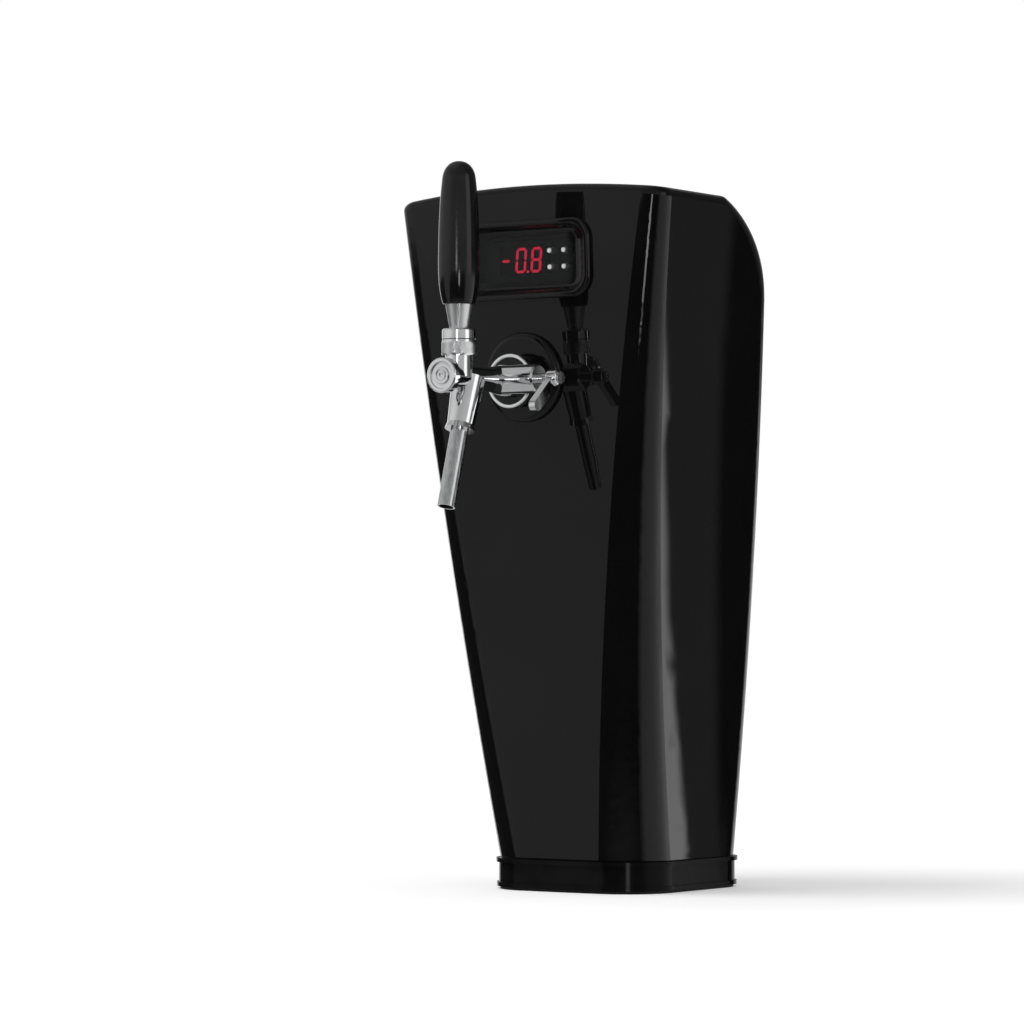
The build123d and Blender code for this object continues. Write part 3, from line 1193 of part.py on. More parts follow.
# Seal of the spindle, between its flange and the gland
with BuildPart() as spindle_seal:
    with BuildSketch(sideways_plane(HOUSING_LENGTH - GLAND_NOSE)):
        Circle(HOUSING_BORE_RADIUS - FIXED_CLEARANCE)
        Circle(SPINDLE_RADIUS + SLIDE_CLEARANCE, mode=Mode.SUBTRACT)
    extrude(amount=-SPINDLE_SEAL_THICK)
spindle_seal.part.label = "spindle_seal"
export_step(spindle_seal.part, "parts/spindle_seal.step")

# Small lever of the compensator: hub and paddle that points forward and down
paddle_plane = Plane(
    origin=((HUB_START + HUB_END) / 2 - PADDLE_THICK / 2, COMPENSATOR_Y, TAP_HEIGHT),
    x_dir=(0, -cos(radians(PADDLE_ANGLE)), -sin(radians(PADDLE_ANGLE))),
    z_dir=(1, 0, 0),
)
with BuildPart() as compensator_lever:
    with BuildSketch(sideways_plane(HUB_START)):
        Circle(LEVER_HUB_RADIUS)
    extrude(amount=LEVER_HUB_LENGTH)
    fillet(compensator_lever.edges().filter_by(GeomType.CIRCLE), LEVER_HUB_LENGTH / 5)
    with BuildSketch(paddle_plane):
        with Locations((PADDLE_LENGTH / 2, 0)):
            SlotOverall(PADDLE_LENGTH, PADDLE_WIDTH)
    extrude(amount=PADDLE_THICK)
    with BuildSketch(sideways_plane(HUB_START)):
        Circle(SPINDLE_RADIUS + FIXED_CLEARANCE)
    extrude(amount=LEVER_HUB_LENGTH, mode=Mode.SUBTRACT)
compensator_lever.part.label = "compensator_lever"
export_step(compensator_lever.part, "parts/compensator_lever.step")

# Screw that holds the small lever on the spindle
with BuildPart() as lever_screw:
    with BuildSketch(sideways_plane(HUB_END)):
        Circle(SPINDLE_RADIUS + LEVER_SCREW_HEAD / 2)
    extrude(amount=LEVER_SCREW_HEAD)
    with BuildSketch(sideways_plane(HUB_END)):
        Circle(LEVER_SCREW_SHANK_RADIUS)
    extrude(amount=-LEVER_SCREW_SHANK)
lever_screw.part.label = "lever_screw"
export_step(lever_screw.part, "parts/lever_screw.step")

# Flow plug in the flow bore, with a slot for the crank pin and flutes for the beer
PLUG_REAR = FLANGE_FRONT - SHANK_NOSE_LENGTH - PLUG_REAR_GAP
PLUG_RADIUS = FLOW_BORE_RADIUS - SLIDE_CLEARANCE
SLOT_HALF_WIDTH = CRANK_RADIUS + CRANK_SLOT_CLEARANCE
with BuildPart() as flow_plug:
    with BuildSketch(forward_plane(PLUG_REAR)):
        Circle(PLUG_RADIUS)
    extrude(amount=PLUG_LENGTH)
    with BuildSketch(forward_plane(PLUG_REAR - PLUG_LENGTH)):
        Circle(PLUG_RADIUS)
    with BuildSketch(forward_plane(PLUG_REAR - PLUG_LENGTH - PLUG_NOSE)):
        Circle(PLUG_NOSE_RADIUS)
    loft()
    with BuildSketch(sideways_plane(SPINDLE_START - CRANK_REACH - 1)):
        with Locations((0, CRANK_THROW * 0.8)):
            Rectangle(2 * SLOT_HALF_WIDTH, 2 * SLOT_HALF_WIDTH + CRANK_THROW)
    extrude(amount=CRANK_REACH + FLOW_BORE_RADIUS, mode=Mode.SUBTRACT)
    with BuildSketch(forward_plane(PLUG_REAR)):
        with PolarLocations(PLUG_RADIUS, 4, start_angle=45):
            Circle(PLUG_FLUTE_RADIUS)
    extrude(amount=PLUG_LENGTH + PLUG_NOSE, mode=Mode.SUBTRACT)
flow_plug.part.label = "flow_plug"
export_step(flow_plug.part, "parts/flow_plug.step")

# Bezel of the thermostat: lip on the shell, neck through it, sloped walls down to the panel
with BuildPart() as display_bezel:
    with BuildSketch(panel_plane.offset(-BEZEL_LIP_DEPTH)):
        RectangleRounded(BEZEL_WIDTH, BEZEL_HEIGHT, BEZEL_CORNER)
    extrude(amount=BEZEL_LIP_DEPTH + BEZEL_PROUD)
    add(outer_solid, mode=Mode.SUBTRACT)
    with BuildSketch(panel_plane.offset(BEZEL_REAR)):
        RectangleRounded(NECK_WIDTH, NECK_HEIGHT, NECK_CORNER)
    extrude(amount=BEZEL_NECK_DEPTH)
    with BuildSketch(panel_plane.offset(WINDOW_FRONT)):
        RectangleRounded(PANEL_WIDTH, PANEL_HEIGHT, PANEL_CORNER)
    with BuildSketch(panel_plane.offset(BEZEL_PROUD)):
        RectangleRounded(BEZEL_MOUTH_WIDTH, BEZEL_MOUTH_HEIGHT, BEZEL_MOUTH_CORNER)
    loft(mode=Mode.SUBTRACT)
    with BuildSketch(panel_plane.offset(BEZEL_REAR)):
        RectangleRounded(
            WINDOW_WIDTH + 2 * SCREW_CLEARANCE, WINDOW_HEIGHT + 2 * SCREW_CLEARANCE, PANEL_CORNER
        )
    extrude(amount=WINDOW_FRONT - BEZEL_REAR, mode=Mode.SUBTRACT)
display_bezel.part.label = "display_bezel"
export_step(display_bezel.part, "parts/display_bezel.step")

# Smoked window with four key holes
with BuildPart() as display_window:
    with BuildSketch(panel_plane.offset(WINDOW_REAR)):
        RectangleRounded(WINDOW_WIDTH, WINDOW_HEIGHT, PANEL_CORNER)
        with Locations(*KEY_PLACES):
            Circle(KEY_RADIUS + SCREW_CLEARANCE, mode=Mode.SUBTRACT)
    extrude(amount=WINDOW_THICK)
display_window.part.label = "display_window"
export_step(display_window.part, "parts/display_window.step")

# Case behind the window, stepped inside to carry the board
with BuildPart() as controller_case:
    with BuildSketch(panel_plane.offset(BEZEL_REAR)):
        RectangleRounded(WINDOW_WIDTH, WINDOW_HEIGHT, PANEL_CORNER)
    extrude(amount=WINDOW_REAR - BEZEL_REAR)
    with BuildSketch(panel_plane.offset(CASE_REAR)):
        Rectangle(CASE_WIDTH, CASE_HEIGHT)
    extrude(amount=CASE_DEPTH)
    with BuildSketch(panel_plane.offset(BOARD_REAR)):
        Rectangle(CASE_WIDTH - 2 * CASE_WALL, CASE_HEIGHT - 2 * CASE_WALL)
    extrude(amount=WINDOW_REAR - BOARD_REAR, mode=Mode.SUBTRACT)
    with BuildSketch(panel_plane.offset(CASE_REAR + CASE_WALL)):
        Rectangle(
            CASE_WIDTH - 2 * CASE_WALL - 2 * CASE_STEP, CASE_HEIGHT - 2 * CASE_WALL - 2 * CASE_STEP
        )
    extrude(amount=BOARD_REAR - CASE_REAR - CASE_WALL, mode=Mode.SUBTRACT)
controller_case.part.label = "controller_case"
export_step(controller_case.part, "parts/controller_case.step")

# Board with a switch under each key
KEY_FLANGE_TOP = WINDOW_REAR - DIGIT_GAP
KEY_LOW = KEY_FLANGE_TOP - KEY_FLANGE_THICK - KEY_STEM
with BuildPart() as display_board:
    with BuildSketch(panel_plane.offset(BOARD_REAR)):
        Rectangle(
            CASE_WIDTH - 2 * CASE_WALL - 2 * PANEL_CLEARANCE,
            CASE_HEIGHT - 2 * CASE_WALL - 2 * PANEL_CLEARANCE,
        )
    extrude(amount=BOARD_THICK)
    with BuildSketch(panel_plane.offset(BOARD_FRONT)):
        with Locations(*KEY_PLACES):
            Rectangle(KEY_SWITCH_SIZE, KEY_SWITCH_SIZE)
    extrude(amount=KEY_LOW - KEY_TRAVEL - SCREW_CLEARANCE - BOARD_FRONT)
display_board.part.label = "display_board"
export_step(display_board.part, "parts/display_board.step")

# Digit module on the board
MODULE_FRONT = WINDOW_REAR - DIGIT_GAP - DIGIT_THICK
with BuildPart() as digit_module:
    with BuildSketch(panel_plane.offset(BOARD_FRONT)):
        with Locations((MODULE_CENTRE_X, 0)):
            Rectangle(MODULE_WIDTH, MODULE_HEIGHT)
    extrude(amount=MODULE_FRONT - BOARD_FRONT)
digit_module.part.label = "digit_module"
export_step(digit_module.part, "parts/digit_module.step")


def segment_corners(kind, centre):
    """Corners of one bar of a seven-bar digit, slanted, about the digit's middle."""
    half_w = DIGIT_WIDTH / 2
    half_h = DIGIT_HEIGHT / 2
    stroke = DIGIT_STROKE
    gap = stroke * 0.15
    level = {"top": half_h - stroke / 2, "middle": 0.0, "low": -half_h + stroke / 2}
    if kind in level:
        y = level[kind]
        reach = half_w - stroke / 2 - gap
        corners = [(-reach, y), (-reach + stroke / 2, y + stroke / 2), (reach - stroke / 2, y + stroke / 2)]
        corners += [(reach, y), (reach - stroke / 2, y - stroke / 2), (-reach + stroke / 2, y - stroke / 2)]
    else:
        side, half = kind.split("_")
        x = (half_w - stroke / 2) * (1 if side == "right" else -1)
        low, high = (gap, half_h - stroke / 2 - gap) if half == "upper" else (-half_h + stroke / 2 + gap, -gap)
        corners = [(x, low), (x - stroke / 2, low + stroke / 2), (x - stroke / 2, high - stroke / 2)]
        corners += [(x, high), (x + stroke / 2, high - stroke / 2), (x + stroke / 2, low + stroke / 2)]
    return [(centre + x + DIGIT_SLANT * y, y) for x, y in corners]


# Lit bars of the digits: a minus sign, a nought, a point and an eight
ring_bars = ["top", "low", "left_upper", "left_lower", "right_upper", "right_lower"]
lit = [("middle", MODULE_CENTRE_X - DIGIT_PITCH)]
lit += [(bar, MODULE_CENTRE_X) for bar in ring_bars]
lit += [(bar, MODULE_CENTRE_X + DIGIT_PITCH) for bar in ring_bars + ["middle"]]
with BuildPart() as led_digits:
    for bar, centre in lit:
        with BuildSketch(panel_plane.offset(MODULE_FRONT)):
            with BuildLine():
                Polyline(*segment_corners(bar, centre), close=True)
            make_face()
        extrude(amount=DIGIT_THICK)
    with BuildSketch(panel_plane.offset(MODULE_FRONT)):
        with Locations((MODULE_CENTRE_X + DIGIT_PITCH / 2 - DIGIT_STROKE / 2, -DIGIT_HEIGHT / 2 + DIGIT_STROKE / 2)):
            Circle(DIGIT_STROKE / 2)
    extrude(amount=DIGIT_THICK)
led_digits.part.label = "led_digits"
export_step(led_digits.part, "parts/led_digits.step")

# Side clips that hold the case in the bezel
with BuildPart() as controller_clips:
    with BuildSketch(panel_plane.offset(BEZEL_REAR)):
        for side in (-1, 1):
            with Locations((side * (CASE_WIDTH / 2 + CLIP_REACH / 2), 0)):
                Rectangle(CLIP_REACH, CLIP_HEIGHT)
    extrude(amount=-CLIP_DEPTH)
controller_clips.part.label = "controller_clips"
export_step(controller_clips.part, "parts/controller_clips.step")

# Terminal block on the rear of the case
TERMINAL_REAR = CASE_REAR - TERMINAL_DEPTH
with BuildPart() as terminal_block:
    with BuildSketch(panel_plane.offset(TERMINAL_REAR)):
        Rectangle(TERMINAL_WIDTH, TERMINAL_HEIGHT)
    extrude(amount=TERMINAL_DEPTH)
    with BuildSketch(panel_plane.offset(TERMINAL_REAR)):
        with Locations((CABLE_X, 0)):
            Circle(CABLE_RADIUS + FIXED_CLEARANCE)
    extrude(amount=CABLE_INSERT, mode=Mode.SUBTRACT)
terminal_block.part.label = "terminal_block"
export_step(terminal_block.part, "parts/terminal_block.step")

# Cable from the terminal block down to the socket in the plate
SOCKET_TOP = PLATE_TOP + SOCKET_FLANGE_THICK + SOCKET_RISE
cable_start = panel_plane.from_local_coords((CABLE_X, 0, TERMINAL_REAR + CABLE_INSERT))
inward = panel_plane.z_dir * -1
run = (CABLE_Y - cable_start.Y) / inward.Y
cable_corner = cable_start + inward * run
with BuildPart() as controller_cable:
    with BuildLine() as cable_route:
        FilletPolyline(
            cable_start, cable_corner, (CABLE_X, CABLE_Y, SOCKET_TOP - CABLE_INSERT), radius=CABLE_BEND
        )
    with BuildSketch(Plane(origin=cable_start, x_dir=(1, 0, 0), z_dir=inward)):
        Circle(CABLE_RADIUS)
    sweep()
controller_cable.part.label = "controller_cable"
export_step(controller_cable.part, "parts/controller_cable.step")

# Socket for the supply, through the plate
with BuildPart() as cable_socket:
    with BuildSketch(Plane.XY.offset(WEB_TOP - SOCKET_DROP)):
        with Locations((CABLE_X, CABLE_Y)):
            Circle(SOCKET_RADIUS)
    extrude(amount=SOCKET_TOP - WEB_TOP + SOCKET_DROP)
    with BuildSketch(Plane.XY.offset(PLATE_TOP)):
        with Locations((CABLE_X, CABLE_Y)):
            Circle(SOCKET_FLANGE_RADIUS)
    extrude(amount=SOCKET_FLANGE_THICK)
    with BuildSketch(Plane.XY.offset(SOCKET_TOP - CABLE_INSERT)):
        with Locations((CABLE_X, CABLE_Y)):
            Circle(CABLE_RADIUS + FIXED_CLEARANCE)
    extrude(amount=CABLE_INSERT, mode=Mode.SUBTRACT)
cable_socket.part.label = "cable_socket"
export_step(cable_socket.part, "parts/cable_socket.step")

# Keys: a cap in the window's hole, a flange that keeps it in and a stem over its switch
key_names = ["key_power", "key_set", "key_up", "key_down"]
for key_name, (key_x, key_y) in zip(key_names, KEY_PLACES):
    with BuildPart() as key:
        with BuildSketch(panel_plane.offset(KEY_LOW)):
            with Locations((key_x, key_y)):
                Circle(KEY_RADIUS)
        extrude(amount=WINDOW_FRONT + KEY_PROUD - KEY_LOW)
        with BuildSketch(panel_plane.offset(KEY_FLANGE_TOP - KEY_FLANGE_THICK)):
            with Locations((key_x, key_y)):
                Circle(KEY_FLANGE_RADIUS)
        extrude(amount=KEY_FLANGE_THICK)
    key.part.label = key_name
    export_step(key.part, f"parts/{key_name}.step")
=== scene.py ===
# %% [markdown]
# # A counter-top draught tower
#
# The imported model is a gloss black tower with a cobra-hood shape, a sunken thermostat and a chrome lever
# tap. Its solids already carry exact normals, so the lesson keeps the turned and moulded pieces that are
# right, gives each one a finish made of nodes, and works out new surfaces only where the real piece has
# more form than its solid.

# %% Load the frame
import json
from functools import partial
from math import cos, pi, radians, sin

import bmesh
import bpy
import numpy as np
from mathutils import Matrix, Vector


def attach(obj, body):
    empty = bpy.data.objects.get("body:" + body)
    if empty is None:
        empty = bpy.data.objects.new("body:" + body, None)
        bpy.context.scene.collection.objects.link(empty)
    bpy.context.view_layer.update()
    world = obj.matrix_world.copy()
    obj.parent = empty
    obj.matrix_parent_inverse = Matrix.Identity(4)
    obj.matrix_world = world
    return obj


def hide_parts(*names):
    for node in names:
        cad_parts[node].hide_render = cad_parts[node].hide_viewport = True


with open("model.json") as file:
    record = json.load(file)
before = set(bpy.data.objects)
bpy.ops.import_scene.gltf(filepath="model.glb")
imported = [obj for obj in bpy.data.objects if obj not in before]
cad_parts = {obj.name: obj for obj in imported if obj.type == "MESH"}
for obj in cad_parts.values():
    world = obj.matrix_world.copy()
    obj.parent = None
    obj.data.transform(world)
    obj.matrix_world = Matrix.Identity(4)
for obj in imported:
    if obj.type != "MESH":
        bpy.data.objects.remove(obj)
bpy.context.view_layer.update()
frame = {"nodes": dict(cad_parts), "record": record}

nodes = frame["nodes"]
slot_of = {entry["node"]: entry["material_slot"] for entry in frame["record"]["subparts"]}

# %% [markdown]
# ## The camera
#
# The picture was taken from the right of the tap, a little below the middle of the tower, with a long
# lens. A long lens keeps the uprights parallel, so no shift is needed: the camera is aimed at the middle
# of the frame instead, a little above and to the left of the tower's axis.

# %% Camera
MM = 0.001
PICTURE_SIZE = 1024
CAMERA_TURN = radians(33.1)
CAMERA_DISTANCE = 3070 * MM
CAMERA_HEIGHT = 191.2 * MM
FOCAL_PIXELS = 4196
AXIS_PIXEL = (616.0, 624.7)
SENSOR_WIDTH = 36.0
FARTHEST_SEEN = 100

scene = bpy.context.scene
view_forward = Vector((-sin(CAMERA_TURN), cos(CAMERA_TURN), 0))
view_right = Vector((cos(CAMERA_TURN), sin(CAMERA_TURN), 0))
half_picture = PICTURE_SIZE / 2
aim = (
    view_forward * FOCAL_PIXELS
    + view_right * (half_picture - AXIS_PIXEL[0])
    + Vector((0, 0, 1)) * (AXIS_PIXEL[1] - half_picture)
)
camera = bpy.data.objects.new("camera", bpy.data.cameras.new("camera"))
camera.location = -view_forward * CAMERA_DISTANCE + Vector((0, 0, CAMERA_HEIGHT))
camera.rotation_euler = aim.to_track_quat("-Z", "Y").to_euler()
camera.data.sensor_width = SENSOR_WIDTH
camera.data.lens = SENSOR_WIDTH * aim.length / PICTURE_SIZE
camera.data.clip_end = FARTHEST_SEEN
scene.collection.objects.link(camera)
scene.camera = camera
scene.view_settings.view_transform = "Standard"
print("camera lens", round(camera.data.lens, 1), "mm")

# %% [markdown]
# ## The studio
#
# Black gloss and chrome show only what stands around them. The tower leans outwards, so its walls mirror
# what lies a little below the horizon: a wide soft panel on the left, a dark gap where the camera stands
# and a bright panel on the right that ends in a sharp edge. Two thin strips of light stand in the gap: one
# draws the line in the tower's corner, the other the line on the handle. The upright chrome mirrors the
# level of the horizon, which is mostly pale. These could be lamps, but lamps would stand in the way of other
# views, so the studio is drawn in the world: mirrored rays see belts of panels by direction, the camera sees
# plain white, and all other rays get one even level.

# %% Levels of the panels
WHITE_LEVEL = 1.0
EVEN_LEVEL = 0.55
FULL_TURN = 360.0
LEVEL_SCALE = 5.0
# Angle around the tower in degrees, counted from the tap's side towards the right, and the level seen there
LOW_BELT = [
    (-180, 0.8), (-142, 0.9), (-132, 1.5), (-122, 1.2), (-116, 0.03), (-60, 0.03), (-54, 0.55), (-13, 0.6),
    (-9, 0.02), (66, 0.02), (80, 0.75), (110, 0.9), (128, 1.2), (146, 1.75), (149, 2.6),
]
# Edges that the flat right side mirrors are sharper than a ramp: where each starts and ends, how far it
# leans for each unit down, and the level beyond it
SHARP_EDGES = [(146.8, 146.92, 12.8, 0.17), (147.8, 148.0, 8.2, 0.02), (165, 178, 0, 0.8)]
# The dark gap reaches further to the left lower down: its middle and half width, how far it leans for each
# unit down, and its level
DARK_GAP = (6, 20, -45, 0.02)
LEVEL_BELT = [
    (-180, 0.2), (-142, 0.25), (-136, 1.1), (-120, 1.1), (-113, 0.4), (-70, 0.65), (-30, 0.7), (0, 0.42),
    (38, 0.45), (78, 0.5), (86, 1.3), (104, 1.15), (112, 0.12), (165, 0.1),
]
HIGH_BELT = [
    (-180, 0.25), (-120, 0.4), (-60, 0.45), (-10, 0.4), (20, 0.3), (70, 0.3), (100, 0.12), (165, 0.1),
]
GROUND_LEVEL = 0.4
# Heights of a direction between which one belt gives way to the next; the last pair counts downwards
LOW_TO_LEVEL = (-0.01, 0.035)
LEVEL_TO_HIGH = (0.3, 0.6)
LOW_TO_GROUND = (0.35, 0.55)
print("levels:", len(LOW_BELT), "low,", len(LEVEL_BELT), "level and", len(HIGH_BELT), "high stops")


# %% Node helpers
def add_node(tree, kind, *inputs, **settings):
    """Adds one node to a tree, sets what the keywords name and feeds its inputs in order."""
    node = tree.nodes.new(kind)
    for key, value in settings.items():
        setattr(node, key, value)
    for socket, value in zip(node.inputs, inputs):
        if isinstance(value, bpy.types.NodeSocket):
            tree.links.new(value, socket)
        elif value is not None:
            socket.default_value = value
    return node.outputs[0] if node.outputs else None


world = bpy.data.worlds.new("studio")
scene.world = world
world.use_nodes = True
studio = world.node_tree
studio.nodes.clear()
world_node = partial(add_node, studio)


def grey(level):
    """The colour that stands for a level, before the scale of all levels."""
    return (*[level / LEVEL_SCALE] * 3, 1)


def belt(place, stops):
    """One belt of panels: a ramp of levels along the angle around the tower."""
    shade = world_node("ShaderNodeValToRGB", place)
    ramp = shade.node.color_ramp
    for index, (angle, level) in enumerate(stops):
        position = (angle + FULL_TURN / 2) / FULL_TURN
        stop = ramp.elements[index] if index < 2 else ramp.elements.new(position)
        stop.position = position
        stop.color = grey(level)
    return shade


def rise(value, start, end):
    """Zero below the start, one above the end, and a soft slope between them."""
    return world_node("ShaderNodeMapRange", value, start, end, 0.0, 1.0, interpolation_type="SMOOTHSTEP")


def blend_tones(share, first, second):
    """The first tone where the share is zero, the second where it is one."""
    mix = studio.nodes.new("ShaderNodeMix")
    mix.data_type = "RGBA"
    studio.links.new(share, mix.inputs["Factor"])
    for name, tone in (("A", first), ("B", second)):
        socket = [entry for entry in mix.inputs if entry.name == name and entry.type == "RGBA"][0]
        if isinstance(tone, bpy.types.NodeSocket):
            studio.links.new(tone, socket)
        else:
            socket.default_value = tone
    return [entry for entry in mix.outputs if entry.type == "RGBA"][0]


print("node helpers ready")

# %% Belts, one over the other
split = studio.nodes.new("ShaderNodeSeparateXYZ")
studio.links.new(studio.nodes.new("ShaderNodeTexCoord").outputs["Generated"], split.inputs[0])
to_tap = world_node("ShaderNodeMath", split.outputs["Y"], -1.0, operation="MULTIPLY")
turn = world_node("ShaderNodeMath", split.outputs["X"], to_tap, operation="ARCTAN2")
place = world_node("ShaderNodeMapRange", turn, radians(-180), radians(180), 0.0, 1.0)
height = split.outputs["Z"]
down = world_node("ShaderNodeMath", height, -1.0, operation="MULTIPLY")
low_tone = belt(place, LOW_BELT)
middle, half_width, lean, level = DARK_GAP
leaning = world_node("ShaderNodeMath", height, radians(lean), turn, operation="MULTIPLY_ADD")
in_gap = world_node("ShaderNodeMath", leaning, radians(middle), radians(half_width), operation="COMPARE")
low_tone = blend_tones(in_gap, low_tone, grey(level))
for start, end, lean, level in SHARP_EDGES:
    leaning = world_node("ShaderNodeMath", height, radians(lean), turn, operation="MULTIPLY_ADD")
    low_tone = blend_tones(rise(leaning, radians(start), radians(end)), low_tone, grey(level))
tone = blend_tones(rise(height, *LOW_TO_LEVEL), low_tone, belt(place, LEVEL_BELT))
tone = blend_tones(rise(height, *LEVEL_TO_HIGH), tone, belt(place, HIGH_BELT))
tone = blend_tones(rise(down, *LOW_TO_GROUND), tone, grey(GROUND_LEVEL))
print("studio:", len(SHARP_EDGES), "sharp edges in its low belt")

# %% Thin bright strips, and what each kind of ray sees
# Turn and half width in degrees, level, lowest and highest direction. The first shows in the tower's corner,
# the second in the handle and the collars
STRIPS = [(37, 3.5, 7.5, -0.15, 0.03), (22, 4.5, 5.0, 0.03, 0.14)]
STRIP_FADE = 0.03


def strip_light(middle, half_width, level, low, high):
    """A thin lamp: its level within the half width of its turn, fading out at its foot and head."""
    inside = world_node("ShaderNodeMath", turn, radians(middle), radians(half_width), operation="COMPARE")
    over_foot = rise(height, low - STRIP_FADE, low + STRIP_FADE)
    under_head = rise(down, -high, STRIP_FADE - high)
    upright = world_node("ShaderNodeMath", over_foot, under_head, operation="MULTIPLY")
    strip = world_node("ShaderNodeMath", inside, upright, operation="MULTIPLY")
    strength = world_node("ShaderNodeMath", strip, level, operation="MULTIPLY")
    return world_node("ShaderNodeBackground", (1, 1, 1, 1), strength)


panels = world_node("ShaderNodeBackground", tone, LEVEL_SCALE)
for strip in STRIPS:
    panels = world_node("ShaderNodeAddShader", panels, strip_light(*strip))
even = world_node("ShaderNodeBackground", (1, 1, 1, 1), EVEN_LEVEL)
white = world_node("ShaderNodeBackground", (1, 1, 1, 1), WHITE_LEVEL)
path = studio.nodes.new("ShaderNodeLightPath").outputs
mirrored = world_node(
    "ShaderNodeMath", path["Is Glossy Ray"], path["Is Transmission Ray"], operation="MAXIMUM"
)
lit = world_node("ShaderNodeMixShader", mirrored, even, panels)
seen = world_node("ShaderNodeMixShader", path["Is Camera Ray"], lit, white)
world_node("ShaderNodeOutputWorld", seen)
print("strips:", len(STRIPS))

# %% [markdown]
# ## Floor and lamp
#
# The floor is a pale sheet that keeps the tower's shadow and fades to white. A fade could be painted by the
# camera's distance, but then it would slide in other views, so the floor glows a little for the camera and
# more so away from the tower. One large soft lamp above on the left gives the shadow a direction. Mirrored
# rays pass the floor by, so that the gloss shows the studio's panels down to the foot, as in the picture.

# %% Floor and lamp
FLOOR_HALF = 6.0
FADE_FROM = 0.25
FADE_TO = 1.1
GLOW_NEAR = 0.3
GLOW_FAR = 0.62
FLOOR_TONE = (0.86, 0.86, 0.86, 1)
FLOOR_ROUGHNESS = 0.9
LAMP_SIZE = 1.6
LAMP_ENERGY = 32
LAMP_PLACE = (-0.9, -1.1, 2.4)
LAMP_AIM = Vector((0, 0, 0.25))

floor_mesh = bpy.data.meshes.new("floor")
corners = np.array([[-1, -1, 0], [1, -1, 0], [1, 1, 0], [-1, 1, 0]]) * FLOOR_HALF
floor_mesh.from_pydata(corners.tolist(), [], [(0, 1, 2, 3)])
floor = bpy.data.objects.new("floor", floor_mesh)
scene.collection.objects.link(floor)
floor.visible_glossy = False
floor_finish = bpy.data.materials.new("floor_pale")
floor_finish.use_nodes = True
floor_tree = floor_finish.node_tree
floor_node = partial(add_node, floor_tree)
floor_shader = floor_tree.nodes["Principled BSDF"]
floor_shader.inputs["Base Color"].default_value = FLOOR_TONE
floor_shader.inputs["Roughness"].default_value = FLOOR_ROUGHNESS
floor_shader.inputs["Specular IOR Level"].default_value = 0.0
away = floor_tree.nodes.new("ShaderNodeVectorMath")
away.operation = "LENGTH"
floor_tree.links.new(floor_tree.nodes.new("ShaderNodeTexCoord").outputs["Object"], away.inputs[0])
glow = floor_node("ShaderNodeMapRange", away.outputs["Value"], FADE_FROM, FADE_TO, GLOW_NEAR, GLOW_FAR)
path = floor_tree.nodes.new("ShaderNodeLightPath").outputs
seen = floor_node("ShaderNodeMath", path["Is Camera Ray"], path["Is Transmission Ray"], operation="MAXIMUM")
strength = floor_node("ShaderNodeMath", glow, seen, operation="MULTIPLY")
floor_light = floor_node("ShaderNodeEmission", (1, 1, 1, 1), strength)
both = floor_node("ShaderNodeAddShader", floor_shader.outputs[0], floor_light)
floor_tree.links.new(both, floor_tree.nodes["Material Output"].inputs["Surface"])
floor_mesh.materials.append(floor_finish)

lamp_data = bpy.data.lights.new("overhead", "AREA")
lamp_data.shape = "DISK"
lamp_data.size = LAMP_SIZE
lamp_data.energy = LAMP_ENERGY
lamp = bpy.data.objects.new("overhead", lamp_data)
lamp.location = LAMP_PLACE
lamp.rotation_euler = (LAMP_AIM - lamp.location).to_track_quat("-Z", "Y").to_euler()
lamp.visible_glossy = False
scene.collection.objects.link(lamp)
print("floor and lamp ready")

# %% [markdown]
# ## Finishes
#
# Every finish is one Principled shader with its plain numbers set on the sockets. What varies over the
# surface comes from noise in Object coordinates: a faint change of tone, a change of roughness as from
# handling, and a very low bump, such as the orange peel of a polished moulding or the drawing lines of a
# steel tube.

# %% Finish helper
CLOUD_DETAIL = 4
TONE_SHARE = (0.35, 0.65)
ROUGH_SHARE = (0.3, 0.7)
BUMP_FINENESS = 3


